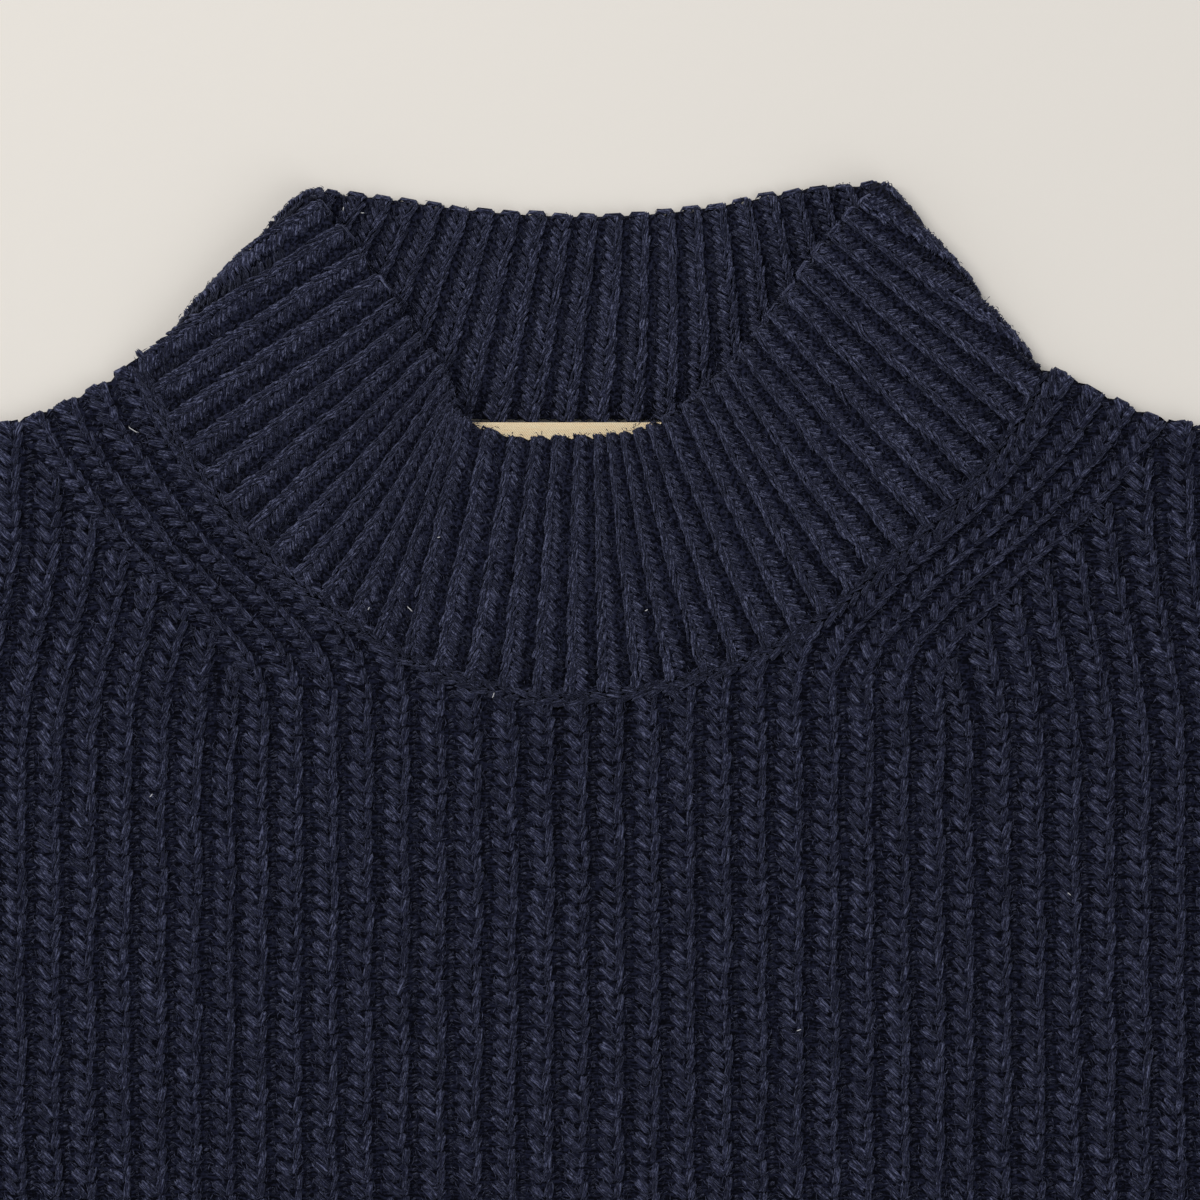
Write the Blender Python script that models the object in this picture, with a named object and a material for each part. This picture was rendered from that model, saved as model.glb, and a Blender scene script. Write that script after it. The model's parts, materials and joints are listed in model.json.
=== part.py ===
"""A sleeveless chunky rib knit vest with a doubled rib collar, lying flat on its back.

Lengths are in millimetres and heights are above the surface that the vest lies on; MM turns them into
metres where a mesh is made. In the drawing plane X runs across the chest and Y runs from the hem up to
the collar, with Y = 0 at the middle of the front neck seam. The last step moves the whole vest so that
its origin is at the middle of its underside.

A wale is one rib of the knit. Whole wale numbers are the valleys between ribs and the halves are crests.
"""

import math

import bmesh
import bpy
import numpy as np
from mathutils import Vector
from mathutils.geometry import delaunay_2d_cdt

MM = 0.001

# Garment sizes
PITCH = 10.35  # one body rib
HEM_Y = -520.0
UNDERARM_Y = -160.0
SIDE_WALE = 27.0  # the side seams follow this wale
HEM_DRAW = 0.03  # share by which the body narrows towards the hem
ARM_WALE = 20.5  # the upper armhole follows this wale
ARM_CURVE_TOP = -70.0  # where the armhole curve meets that wale
ARM_CURVE_STEPS = 90
SIDE_STEPS = 7
SEAM_GAP = 0.3

# Heights and thicknesses
BACK_THICK = 4.0
FRONT_BASE = BACK_THICK + SEAM_GAP
FRONT_VALLEY = 6.9
FRONT_CREST = 9.3
EDGE_HEIGHT = 6.0  # of the front where it rounds down to the back
EDGE_ROUND = 2.8  # width of that rounding
SCALLOP = 0.8  # how far crests stand out of an edge, and valleys stay back
CREST_SHARES = (0.28, 0.72)  # the flat top of a rib, as shares of its pitch

# The fashioned bands beside the neck, in wales and millimetres
BAND_START = 6.0
BAND_END = 10.0
BAND_REACH = 45.0  # from the neck seam to the band's outer side, measured level
BEND_SOFTNESS = 16.0
LEAN = 11.0  # how far the outer ribs lean towards the neck on the way up
LEAN_FROM, LEAN_TO = -20.0, 56.0
LEAN_FADE_WALE = 16.0
LEAN_LEFT = 0.3  # share of the lean that is left at the armhole
FIRST_GUIDE_TOP = 22.0  # above this the neck seam itself is the band's first valley

FRONT_SEAM = (
    # x, y of the collar seam, from the left neck point to the right one
    (-133.2, 97.9),
    (-122.0, 75.0),
    (-109.8, 57.8),
    (-97.1, 43.2),
    (-82.0, 29.6),
    (-61.5, 15.2),
    (-38.0, 4.2),
    (-15.0, -0.6),
    (11.0, 0.6),
    (32.0, 5.4),
    (50.0, 12.0),
    (66.0, 21.5),
    (81.0, 34.4),
    (103.0, 52.9),
    (118.0, 70.3),
    (132.9, 93.5),
)
BACK_SEAM_MIDDLE = (
    # x, y of the back neck seam between the collar's two folds
    (-88.0, 85.0),
    (-42.0, 79.6),
    (0.0, 79.2),
    (42.0, 79.6),
    (88.0, 84.6),
)
SHOULDER = (
    # distance from the centre line, y, from the neck point out to the armhole
    (141.5, 91.0),
    (149.0, 87.0),
    (156.5, 83.3),
    (164.0, 80.3),
    (174.0, 77.6),
)
SHOULDER_TIP_Y = 67.0

# Collar: a doubled tube of 62 finer ribs
COLLAR_WALES = 62
COLLAR_WALL = (3.2, 4.6)  # at the seam and at the top
COLLAR_RIB = 0.9
COLLAR_INNER_RIB = 0.7
COLLAR_RIB_FADE = (-0.6, 0.2)  # the ribs fade between these, as the outer face turns from down to up
COLLAR_LIFT = 0.4  # gap between the collar and the panels' edge
CAP_TOP = 0.1  # rise of the rounded upper edge's middle, as a share of half the wall
CAP_SIDE = (0.75, 0.7, 0.25)  # of its two sides: across, share of the scallop, and drop
COLLAR_FRONT_HEIGHT = (7.2, 15.0)  # of the front wall's middle, at the seam and at the top
COLLAR_RISE_POWER = 0.75
COLLAR_ROWS = (0.0, 0.22, 0.5, 0.78, 1.0)
COLLAR_TURNS = (
    # wale at the seam, wale at the top: front left, front right, back right, back left
    (0.7, -0.6),
    (34.5, 36.0),
    (35.5, 38.3),
    (61.7, 59.5),
)
COLLAR_FOLD_INSET = 4.6  # of the fold's middle from the neck point, along the seam
COLLAR_FOLDS = (
    # x, y of the fold's front end at the top, its reach outwards at the seam and at the top
    (-80.0, 141.0, 2.8, 4.2),
    (77.5, 141.5, 2.8, 6.4),
)
COLLAR_FOLD_STEPS = (
    # x, y from the fold's front end to its back end, at the top
    (0.5, 5.0),
    (1.0, 6.0),
)
COLLAR_TOP_FRONT = (
    # wale, x, y of the front wall's upper edge
    (-0.6, -80.0, 141.0),
    (1.0, -70.3, 129.4),
    (3.0, -59.7, 114.7),
    (5.0, -52.4, 104.7),
    (7.0, -45.4, 95.2),
    (9.0, -42.0, 88.2),
    (11.0, -40.4, 82.2),
    (12.2, -38.6, 79.0),
    (13.0, -33.2, 76.3),
    (14.5, -22.0, 73.0),
    (18.0, 0.0, 73.6),
    (21.0, 11.5, 75.0),
    (23.0, 19.7, 78.2),
    (25.0, 30.4, 85.4),
    (28.0, 42.6, 97.1),
    (31.0, 55.8, 113.4),
    (34.0, 69.1, 131.5),
    (36.0, 77.5, 141.5),
)
COLLAR_TOP_BACK = (
    # x, y of the back wall's upper edge between the folds, from left to right
    (-69.0, 145.3),
    (-54.0, 142.9),
    (-26.0, 139.7),
    (0.0, 138.8),
    (28.0, 140.6),
    (54.0, 145.0),
    (68.5, 147.4),
)

# Armhole bands
BAND_WIDTH = 22.0
BAND_WALL = 3.4
BAND_RIB = 0.8
BAND_RIB_PITCH = 7.6
BAND_FRONT_MIDDLE = 6.0
BAND_BACK_MIDDLE = BAND_WALL / 2
BAND_FOLD_STEPS = 5
BAND_BACK_STATIONS = 14
BAND_SIGHT = 2.0  # the band's direction is read this far before and after a station
BAND_PROFILE = (
    # share of the band's width, share of half its wall, whether it is on the ribbed face
    (0.0, -1.0, False),
    (0.0, 1.0, True),
    (0.5, 1.0, True),
    (0.9, 1.0, True),
    (1.0, 0.0, False),
    (0.9, -1.0, False),
)

# Neck label
LABEL_SIZE = (80.0, 28.0, 0.9)
LABEL_MIDDLE_X = -2.0
LABEL_TOP_Y = 78.9

# Colours: base colour, roughness
COLOURS = {
    "knit_navy": ((0.020, 0.023, 0.042, 1.0), 0.95),
    "rib_navy": ((0.018, 0.021, 0.040, 1.0), 0.95),
    "label_cream": ((0.74, 0.63, 0.43, 1.0), 0.85),
}

LINE_STEP = 0.5  # spacing at which a wale is followed when its end is looked for
LINE_HALVINGS = 20  # of that spacing, to find the end itself
SAME_PLACE = 0.01
SAME_WALE = 0.1
OUTLINE_STEP = 1.0
CURVED_FILL = 7.0  # longest edge on a curved stretch of an outline
STRAIGHT_FILL = 28.0  # longest edge on the back's side seams
ROWS_BELOW = (-400.0, -280.0, UNDERARM_Y, -60.0)
ROWS_BESIDE_NECK = (-20.0, -4.0, 8.0, 20.0, 32.0, 44.0, 56.0, 68.0, 80.0)
NECK_SIDE_WALES = (3.9, 18.0)  # the wales that bend, and so need the rows beside the neck


def smooth_points(rows, step=OUTLINE_STEP):
    """Points every step along a smooth curve through the rows."""
    points = np.array(rows, float)
    chords = np.linalg.norm(np.diff(points, axis=0), axis=1)
    knots = np.concatenate([[0.0], np.cumsum(chords)])
    slopes = np.gradient(points, knots, axis=0)
    places = np.linspace(0.0, knots[-1], int(knots[-1] / step) + 2)
    low = np.clip(np.searchsorted(knots, places, side="right") - 1, 0, len(knots) - 2)
    span = (knots[low + 1] - knots[low])[:, None]
    t = (places[:, None] - knots[low][:, None]) / span
    start = (1 + 2 * t) * (1 - t) ** 2 * points[low] + t * (1 - t) ** 2 * span * slopes[low]
    end = t**2 * (3 - 2 * t) * points[low + 1] + t**2 * (t - 1) * span * slopes[low + 1]
    return start + end


def lengths_along(points):
    """Distance from the first point to each point, along the line."""
    steps = np.linalg.norm(np.diff(points, axis=0), axis=1)
    return np.concatenate([[0.0], np.cumsum(steps)])


def point_at(points, lengths, place):
    """The point of a line at this distance from its start."""
    return np.array([np.interp(place, lengths, points[:, axis]) for axis in (0, 1)])


def smoothstep(value, low, high):
    """0 below low, 1 above high, and a soft turn between them."""
    share = np.clip((value - low) / (high - low), 0.0, 1.0)
    return share * share * (3 - 2 * share)


def soft_max(first, second):
    """The larger of two reaches, with the corner between them bent softly."""
    return (first + second + np.hypot(first - second, BEND_SOFTNESS)) / 2


SEAM_LINE = smooth_points(FRONT_SEAM)
SEAM_LOW = int(np.argmin(SEAM_LINE[:, 1]))


def seam_reach(side, y):
    """How far the front neck seam is from the centre line, level with y, on side -1 or 1."""
    half = SEAM_LINE[SEAM_LOW::-1] if side < 0 else SEAM_LINE[SEAM_LOW:]
    return np.abs(np.interp(y, half[:, 1], half[:, 0]))


def wale_x(wale, y):
    """x of a wale of the front at height y. Wales are numbered outwards from 0 on the centre line."""
    side = -1.0 if wale < 0 else 1.0
    number = abs(wale)
    y = np.asarray(y, float)
    inner = soft_max(BAND_START * PITCH, seam_reach(side, y))
    outer = soft_max(BAND_END * PITCH, seam_reach(side, y) + BAND_REACH)
    if number <= BAND_START:
        reach = number * PITCH + (number / BAND_START) ** 2 * (inner - BAND_START * PITCH)
    elif number <= BAND_END:
        reach = inner + (outer - inner) * (number - BAND_START) / (BAND_END - BAND_START)
    else:
        fade = np.interp(number, (LEAN_FADE_WALE, ARM_WALE), (1.0, LEAN_LEFT))
        reach = number * PITCH - LEAN * fade * smoothstep(y, LEAN_FROM, LEAN_TO)
    drawn = HEM_DRAW * np.clip((UNDERARM_Y - y) / (UNDERARM_Y - HEM_Y), 0.0, 1.0)
    return side * reach * (1 - drawn)


def shoulder_line(side):
    """The shoulder from the neck point to the armhole, on side -1 or 1."""
    neck = SEAM_LINE[0] if side < 0 else SEAM_LINE[-1]
    tip = (abs(wale_x(ARM_WALE, SHOULDER_TIP_Y)), SHOULDER_TIP_Y)
    rows = ((abs(neck[0]), neck[1]), *SHOULDER, tip)
    return smooth_points(rows) * (side, 1.0)


def armhole_line(side):
    """The armhole edge from the shoulder tip down its wale and round to the underarm."""
    heights = np.arange(SHOULDER_TIP_Y, ARM_CURVE_TOP, -OUTLINE_STEP)
    straight = np.column_stack([np.abs(wale_x(ARM_WALE, heights)), heights])
    underarm = SIDE_WALE * PITCH
    across = underarm - ARM_WALE * PITCH
    down = ARM_CURVE_TOP - UNDERARM_Y
    angles = np.linspace(math.pi / 2, 0.0, ARM_CURVE_STEPS)
    curve = np.column_stack(
        [underarm - across * np.sin(angles), ARM_CURVE_TOP - down * np.cos(angles)]
    )
    return np.vstack([straight, curve]) * (side, 1.0)


def lower_line(side):
    """The side seam from the underarm down to the hem corner."""
    heights = np.linspace(UNDERARM_Y, HEM_Y, SIDE_STEPS)
    return np.column_stack([wale_x(side * SIDE_WALE, heights), heights])


def fold_middle(side, rise):
    """Where the middle of the collar's side fold is, at a share of the collar's height."""
    lengths = lengths_along(SEAM_LINE)
    inset = COLLAR_FOLD_INSET if side < 0 else lengths[-1] - COLLAR_FOLD_INSET
    low = point_at(SEAM_LINE, lengths, inset)
    row = COLLAR_FOLDS[0 if side < 0 else 1]
    return low + (np.array(row[:2]) - low) * rise


def back_seam_line():
    """The back neck seam between the collar's folds, from left to right."""
    return smooth_points((fold_middle(-1, 0.0), *BACK_SEAM_MIDDLE, fold_middle(1, 0.0)))


def stretch(kind, points):
    """A named stretch of an outline."""
    return {"kind": kind, "points": np.asarray(points, float)}


def panel_outline(neck_lines):
    """A panel's outline as named stretches, anticlockwise from the left neck point down the left side.

    neck_lines are the pieces of its neck edge, from right to left.
    """
    return [
        stretch("shoulder", shoulder_line(-1)),
        stretch("armhole", armhole_line(-1)),
        stretch("side", lower_line(-1)),
        stretch("hem", [lower_line(-1)[-1], lower_line(1)[-1]]),
        stretch("side", lower_line(1)[::-1]),
        stretch("armhole", armhole_line(1)[::-1]),
        stretch("shoulder", shoulder_line(1)[::-1]),
        *(stretch("neck", line) for line in neck_lines),
    ]


class Outline:
    """A closed outline that knows where along it any of its points lies."""

    def __init__(self, stretches):
        self.points = np.vstack([part["points"][:-1] for part in stretches])
        self.kinds = [part["kind"] for part in stretches for _ in part["points"][:-1]]
        self.corners = np.cumsum([0] + [len(part["points"]) - 1 for part in stretches[:-1]])
        self.ends = np.roll(self.points, -1, axis=0)
        steps = np.linalg.norm(self.ends - self.points, axis=1)
        self.starts = np.concatenate([[0.0], np.cumsum(steps)[:-1]])
        self.total = steps.sum()

    def holds(self, places):
        """Whether each place is inside, by counting the edges to its right."""
        x, y = places[:, 0, None], places[:, 1, None]
        (x0, y0), (x1, y1) = self.points.T, self.ends.T
        across = (y0 > y) != (y1 > y)
        rise = np.where(y1 == y0, 1.0, y1 - y0)
        meets = x < (x1 - x0) * (y - y0) / rise + x0
        return (across & meets).sum(axis=1) % 2 == 1

    def nearest(self, place):
        """(distance along the outline, kind of its stretch) of the point nearest to place."""
        along = self.ends - self.points
        share = ((place - self.points) * along).sum(axis=1) / (along**2).sum(axis=1)
        share = np.clip(share, 0.0, 1.0)
        gaps = np.linalg.norm(self.points + along * share[:, None] - place, axis=1)
        best = int(np.argmin(gaps))
        step = np.linalg.norm(along[best])
        return self.starts[best] + share[best] * step, self.kinds[best]

    def outward(self, distance):
        """The unit direction out of the panel at a distance along the outline."""
        best = int(np.searchsorted(self.starts, distance, side="right")) - 1
        along = self.ends[best] - self.points[best]
        return np.array((along[1], -along[0])) / np.linalg.norm(along)


def make_object(name, points, faces, material):
    """A mesh object from points in millimetres, in the vest's collection."""
    mesh = bpy.data.meshes.new(name)
    mesh.from_pydata([tuple(float(value) * MM for value in point) for point in points], [], faces)
    mesh.validate()
    mesh.materials.append(material)
    thing = bpy.data.objects.new(name, mesh)
    bpy.data.collections["vest"].objects.link(thing)
    return thing


def loop_faces(sections, count):
    """Four-sided faces between closed sections of count points each, the last joined to the first."""
    faces = []
    for place in range(sections):
        after = (place + 1) % sections
        for step in range(count):
            beyond = (step + 1) % count
            faces.append((place * count + step, after * count + step,
                          after * count + beyond, place * count + beyond))
    return faces


def face_outwards(thing):
    """Turns every face of a closed mesh outwards and makes it smooth."""
    shape = bmesh.new()
    shape.from_mesh(thing.data)
    bmesh.ops.recalc_face_normals(shape, faces=shape.faces)
    shape.to_mesh(thing.data)
    shape.free()
    thing.data.shade_smooth()


def triangles_inside(points, edges):
    """Triangles that fill the outline and keep every edge."""
    flat = [Vector((float(x), float(y))) for x, y, *_ in points]
    found = delaunay_2d_cdt(flat, edges, [], 1, 1e-6)
    sources = [origin[0] for origin in found[3]]
    return [[sources[index] for index in face] for face in found[2]]


def rib_height(wale):
    """Height of the front at a wale: low in the valleys, high on the crests."""
    return FRONT_VALLEY if abs(wale - round(wale)) < SAME_WALE else FRONT_CREST


def wale_numbers():
    """Every wale line of the front: the valleys, and both sides of each rib's flat top."""
    count = int(SIDE_WALE)
    lines = []
    for number in range(count):
        for share in (0.0, *CREST_SHARES):
            lines += [number + share] if number + share == 0 else [-number - share, number + share]
    return sorted(lines)


def line_top(wale, outline):
    """How high a wale runs before it leaves the panel or dies into the fashioned band."""
    heights = np.arange(HEM_Y + EDGE_ROUND, max(FRONT_SEAM[0][1], FRONT_SEAM[-1][1]) + 1.0, LINE_STEP)
    guide = math.copysign(BAND_END, wale)

    def is_free(levels):
        places = np.column_stack([wale_x(wale, levels), levels])
        free = outline.holds(places)
        if abs(wale) > BAND_END:
            free &= np.abs(places[:, 0]) > np.abs(wale_x(guide, levels))
        if abs(wale) == BAND_START:
            free &= levels < FIRST_GUIDE_TOP
        return free

    free = is_free(heights)
    stop = int(np.argmin(free)) if not free.all() else len(heights) - 1
    low, high = heights[stop - 1], heights[stop]
    for _ in range(LINE_HALVINGS):
        middle = (low + high) / 2
        low, high = (middle, high) if is_free(np.array([middle]))[0] else (low, middle)
    meets_guide = (
        abs(wale) > BAND_END and abs(abs(wale_x(wale, low)) - abs(wale_x(guide, low))) < SAME_PLACE
    )
    return low, meets_guide or abs(wale) == BAND_START


class FrontPanel:
    """The ribbed front: raised ribs on its upper face over a plain inside."""

    def __init__(self):
        self.outline = Outline(panel_outline([SEAM_LINE[::-1]]))
        self.points = []
        self.edges = []
        self.rim = []  # (distance along the outline, index of its point)

    def add(self, x, y, z):
        """Adds a point and returns its index."""
        self.points.append((float(x), float(y), float(z)))
        return len(self.points) - 1

    def add_rim(self, place, wale):
        """Adds a point on the outline, moved out on a crest and in at a valley where the edge is free."""
        distance, kind = self.outline.nearest(np.asarray(place, float))
        crest = wale is not None and rib_height(wale) == FRONT_CREST
        height = EDGE_HEIGHT
        if kind in ("neck", "armhole"):
            height = FRONT_CREST if crest else FRONT_VALLEY
        elif kind in ("shoulder", "hem") and wale is not None:
            place = place + self.outline.outward(distance) * (SCALLOP if crest else -SCALLOP) / 2
        index = self.add(place[0], place[1], height)
        self.rim.append((distance, index))
        return index

    def add_line(self, wale, top, ends_inside, extra_rows):
        """Adds one wale from the hem to its top."""
        height = rib_height(wale)
        rows = [HEM_Y + EDGE_ROUND, *ROWS_BELOW, *extra_rows]
        if NECK_SIDE_WALES[0] < abs(wale) < NECK_SIDE_WALES[1]:
            rows += ROWS_BESIDE_NECK
        last = top if ends_inside else top - EDGE_ROUND
        rows = sorted({row for row in rows if row < last - EDGE_ROUND} | {last})
        chain = [self.add_rim(np.array((wale_x(wale, HEM_Y), HEM_Y)), wale)]
        for row in rows:
            low_end = ends_inside and row == last and abs(wale) > BAND_END
            chain.append(self.add(wale_x(wale, row), row, FRONT_VALLEY if low_end else height))
        if not ends_inside:
            chain.append(self.add_rim(np.array((wale_x(wale, top), top)), wale))
        self.edges += zip(chain[:-1], chain[1:])

    def fill_rim(self):
        """Adds the outline's corners, and points between its ends where it is curved."""
        outline = self.outline
        for corner in outline.corners:
            self.add_rim(outline.points[corner], None)
        for start, kind in zip(outline.starts, outline.kinds):
            nearest = min(abs(start - distance) for distance, _ in self.rim)
            if nearest > CURVED_FILL / 2 and kind in ("neck", "armhole", "side", "shoulder"):
                self.add_rim(outline.points[int(np.searchsorted(outline.starts, start))], None)
        self.rim.sort()

    def build(self, material):
        """Makes the panel's object."""
        tops = {wale: line_top(wale, self.outline) for wale in wale_numbers()}
        for wale, (top, ends_inside) in tops.items():
            side = math.copysign(1.0, wale)
            joins = [
                end
                for other, (end, inside) in tops.items()
                if inside and abs(other) > BAND_END and math.copysign(1.0, other) == side
            ]
            self.add_line(wale, top, ends_inside, joins if abs(wale) == BAND_END else [])
        self.fill_rim()
        loop = [index for _, index in self.rim]
        ring = list(zip(loop, loop[1:] + loop[:1]))
        upper = triangles_inside(self.points, self.edges + ring)
        plain = [self.points[index] for index in loop]
        count = len(loop)
        plain_ring = [(index, (index + 1) % count) for index in range(count)]
        base = len(self.points)
        lower = [[base + index for index in face[::-1]] for face in triangles_inside(plain, plain_ring)]
        points = self.points + [(x, y, FRONT_BASE) for x, y, _ in plain]
        wall = [(first, second, base + (place + 1) % count, base + place)
                for place, (first, second) in enumerate(ring)]
        panel = make_object("front", points, upper + lower + wall, material)
        face_outwards(panel)
        return panel


def build_back(material):
    """The plain flat back, as a filled outline with a softened edge."""
    seam = back_seam_line()[::-1]
    outline = Outline(panel_outline([(SEAM_LINE[-1], seam[0]), seam, (seam[-1], SEAM_LINE[0])]))
    kept = [0]
    for index in range(1, len(outline.points)):
        limit = STRAIGHT_FILL if outline.kinds[index] == "side" else CURVED_FILL
        if index in outline.corners or outline.starts[index] - outline.starts[kept[-1]] >= limit:
            kept.append(index)
    curve = bpy.data.curves.new("back_outline", "CURVE")
    curve.dimensions = "2D"
    curve.fill_mode = "BOTH"
    curve.extrude = BACK_THICK / 2 * MM
    spline = curve.splines.new("POLY")
    spline.points.add(len(kept) - 1)
    for place, index in zip(spline.points, kept):
        x, y = outline.points[index]
        place.co = (x * MM, y * MM, 0.0, 1.0)
    spline.use_cyclic_u = True
    drawn = bpy.data.objects.new("back_outline", curve)
    bpy.data.collections["vest"].objects.link(drawn)
    bpy.context.view_layer.update()
    mesh = bpy.data.meshes.new_from_object(drawn.evaluated_get(bpy.context.evaluated_depsgraph_get()))
    bpy.data.objects.remove(drawn)
    shape = bmesh.new()
    shape.from_mesh(mesh)
    bmesh.ops.remove_doubles(shape, verts=shape.verts, dist=SAME_PLACE * MM)
    bmesh.ops.translate(shape, verts=shape.verts, vec=(0.0, 0.0, BACK_THICK / 2 * MM))
    shape.to_mesh(mesh)
    shape.free()
    mesh.materials.clear()
    mesh.materials.append(material)
    panel = bpy.data.objects.new("back", mesh)
    bpy.data.collections["vest"].objects.link(panel)
    return panel


class Collar:
    """The doubled rib collar: a flattened tube whose ribs run from its seam to its upper edge."""

    def __init__(self):
        lengths = lengths_along(SEAM_LINE)
        inside = (lengths > COLLAR_FOLD_INSET) & (lengths < lengths[-1] - COLLAR_FOLD_INSET)
        self.low_front = np.vstack([fold_middle(-1, 0.0), SEAM_LINE[inside], fold_middle(1, 0.0)])
        self.low_back = back_seam_line()
        ends = [fold_middle(side, 1.0) + self.fold_step(side, 1.0) for side in (-1, 1)]
        self.high_back = smooth_points((ends[0], *COLLAR_TOP_BACK, ends[1]))
        self.high_front = np.array(COLLAR_TOP_FRONT)

    def low_point(self, line, share):
        """A point of a line by its share of the line's length."""
        lengths = lengths_along(line)
        return point_at(line, lengths, share * lengths[-1])

    def front_height(self, rise):
        """Height of the front wall's middle."""
        low, high = COLLAR_FRONT_HEIGHT
        return low + (high - low) * math.sin(math.pi / 2 * rise**COLLAR_RISE_POWER)

    def wall(self, rise):
        """Thickness of the doubled wall."""
        return COLLAR_WALL[0] + (COLLAR_WALL[1] - COLLAR_WALL[0]) * rise

    def fold_step(self, side, turn):
        """How far the fold's upper edge has moved from its front end, at a turn."""
        return np.array(COLLAR_FOLD_STEPS[0 if side < 0 else 1]) * (1 - math.cos(math.pi * turn)) / 2

    def fold(self, side, turn, rise):
        """A point round a side fold and its outward direction; turn runs from 0 in front to 1 behind."""
        row = COLLAR_FOLDS[0 if side < 0 else 1]
        reach = row[2] + (row[3] - row[2]) * rise
        neck = SEAM_LINE[0] if side < 0 else SEAM_LINE[-1]
        at_seam = neck - fold_middle(side, 0.0)
        along = fold_middle(side, 1.0) - fold_middle(side, 0.0)
        square = np.array((-along[1], along[0])) * -side
        out = at_seam / np.linalg.norm(at_seam) * (1 - rise) + square / np.linalg.norm(square) * rise
        out /= np.linalg.norm(out)
        top, bottom = self.front_height(rise), self.wall(rise) / 2
        half = (top - bottom) / 2
        angle = math.pi * (0.5 - turn)
        middle = fold_middle(side, rise) + self.fold_step(side, turn) * rise
        point = (*(middle + out * reach * math.cos(angle)), bottom + half + half * math.sin(angle))
        normal = Vector((*(out * math.cos(angle) / reach), math.sin(angle) / half)).normalized()
        return np.array(point), np.array(normal)

    def middle(self, wale, rise):
        """A point in the middle of the wall, and the wall's outward direction there."""
        turns = [low + (high - low) * rise for low, high in COLLAR_TURNS]
        place = turns[0] + (wale - turns[0]) % COLLAR_WALES
        if place < turns[1]:
            share = (place - turns[0]) / (turns[1] - turns[0])
            low = self.low_point(self.low_front, share)
            numbers = self.high_front[:, 0]
            number = numbers[0] + share * (numbers[-1] - numbers[0])
            high = np.array([np.interp(number, numbers, self.high_front[:, axis]) for axis in (1, 2)])
            flat = low + (high - low) * rise
            return np.array((*flat, self.front_height(rise))), np.array((0.0, 0.0, 1.0))
        if place < turns[2]:
            return self.fold(1, (place - turns[1]) / (turns[2] - turns[1]), rise)
        if place < turns[3]:
            share = 1 - (place - turns[2]) / (turns[3] - turns[2])
            low = self.low_point(self.low_back, share)
            flat = low + (self.low_point(self.high_back, share) - low) * rise
            return np.array((*flat, self.wall(rise) / 2)), np.array((0.0, 0.0, -1.0))
        turn = (place - turns[3]) / (turns[0] + COLLAR_WALES - turns[3])
        return self.fold(-1, 1 - turn, rise)

    def ring(self, wale):
        """The wall's section along one wale: up the outer face, over the top and down the inner face."""
        crest = abs(wale - round(wale)) > SAME_WALE
        up = (self.middle(wale, 1.0)[0] - self.middle(wale, 0.0)[0]) * (1.0, 1.0, 0.0)
        up /= np.linalg.norm(up)
        outer, inner = [], []
        for rise in COLLAR_ROWS:
            centre, normal = self.middle(wale, rise)
            half = self.wall(rise) / 2
            raised = COLLAR_RIB * smoothstep(normal[2], *COLLAR_RIB_FADE) if crest else 0.0
            inward = 0.0 if crest else COLLAR_INNER_RIB * abs(normal[2])
            lift = up * {0.0: COLLAR_LIFT, 1.0: -half}.get(rise, 0.0)
            outer.append(centre + normal * (half + raised) + lift)
            inner.append(centre - normal * (half + inward) + lift)
        centre, normal = self.middle(wale, 1.0)
        half = self.wall(1.0) / 2
        reach = SCALLOP if crest else 0.0
        across, scalloped, drop = CAP_SIDE
        side = centre + up * (reach * scalloped - half * drop)
        top = centre + up * (reach + half * CAP_TOP)
        cap = [side + normal * half * across, top, side - normal * half * across]
        return outer + cap + inner[::-1]

    def build(self, material):
        """Makes the collar's object."""
        wales = [
            number + share for number in range(COLLAR_WALES) for share in (0.0, *CREST_SHARES)
        ]
        rings = [self.ring(wale) for wale in wales]
        points = [point for ring in rings for point in ring]
        collar = make_object("collar", points, loop_faces(len(rings), len(rings[0])), material)
        face_outwards(collar)
        return collar


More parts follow.
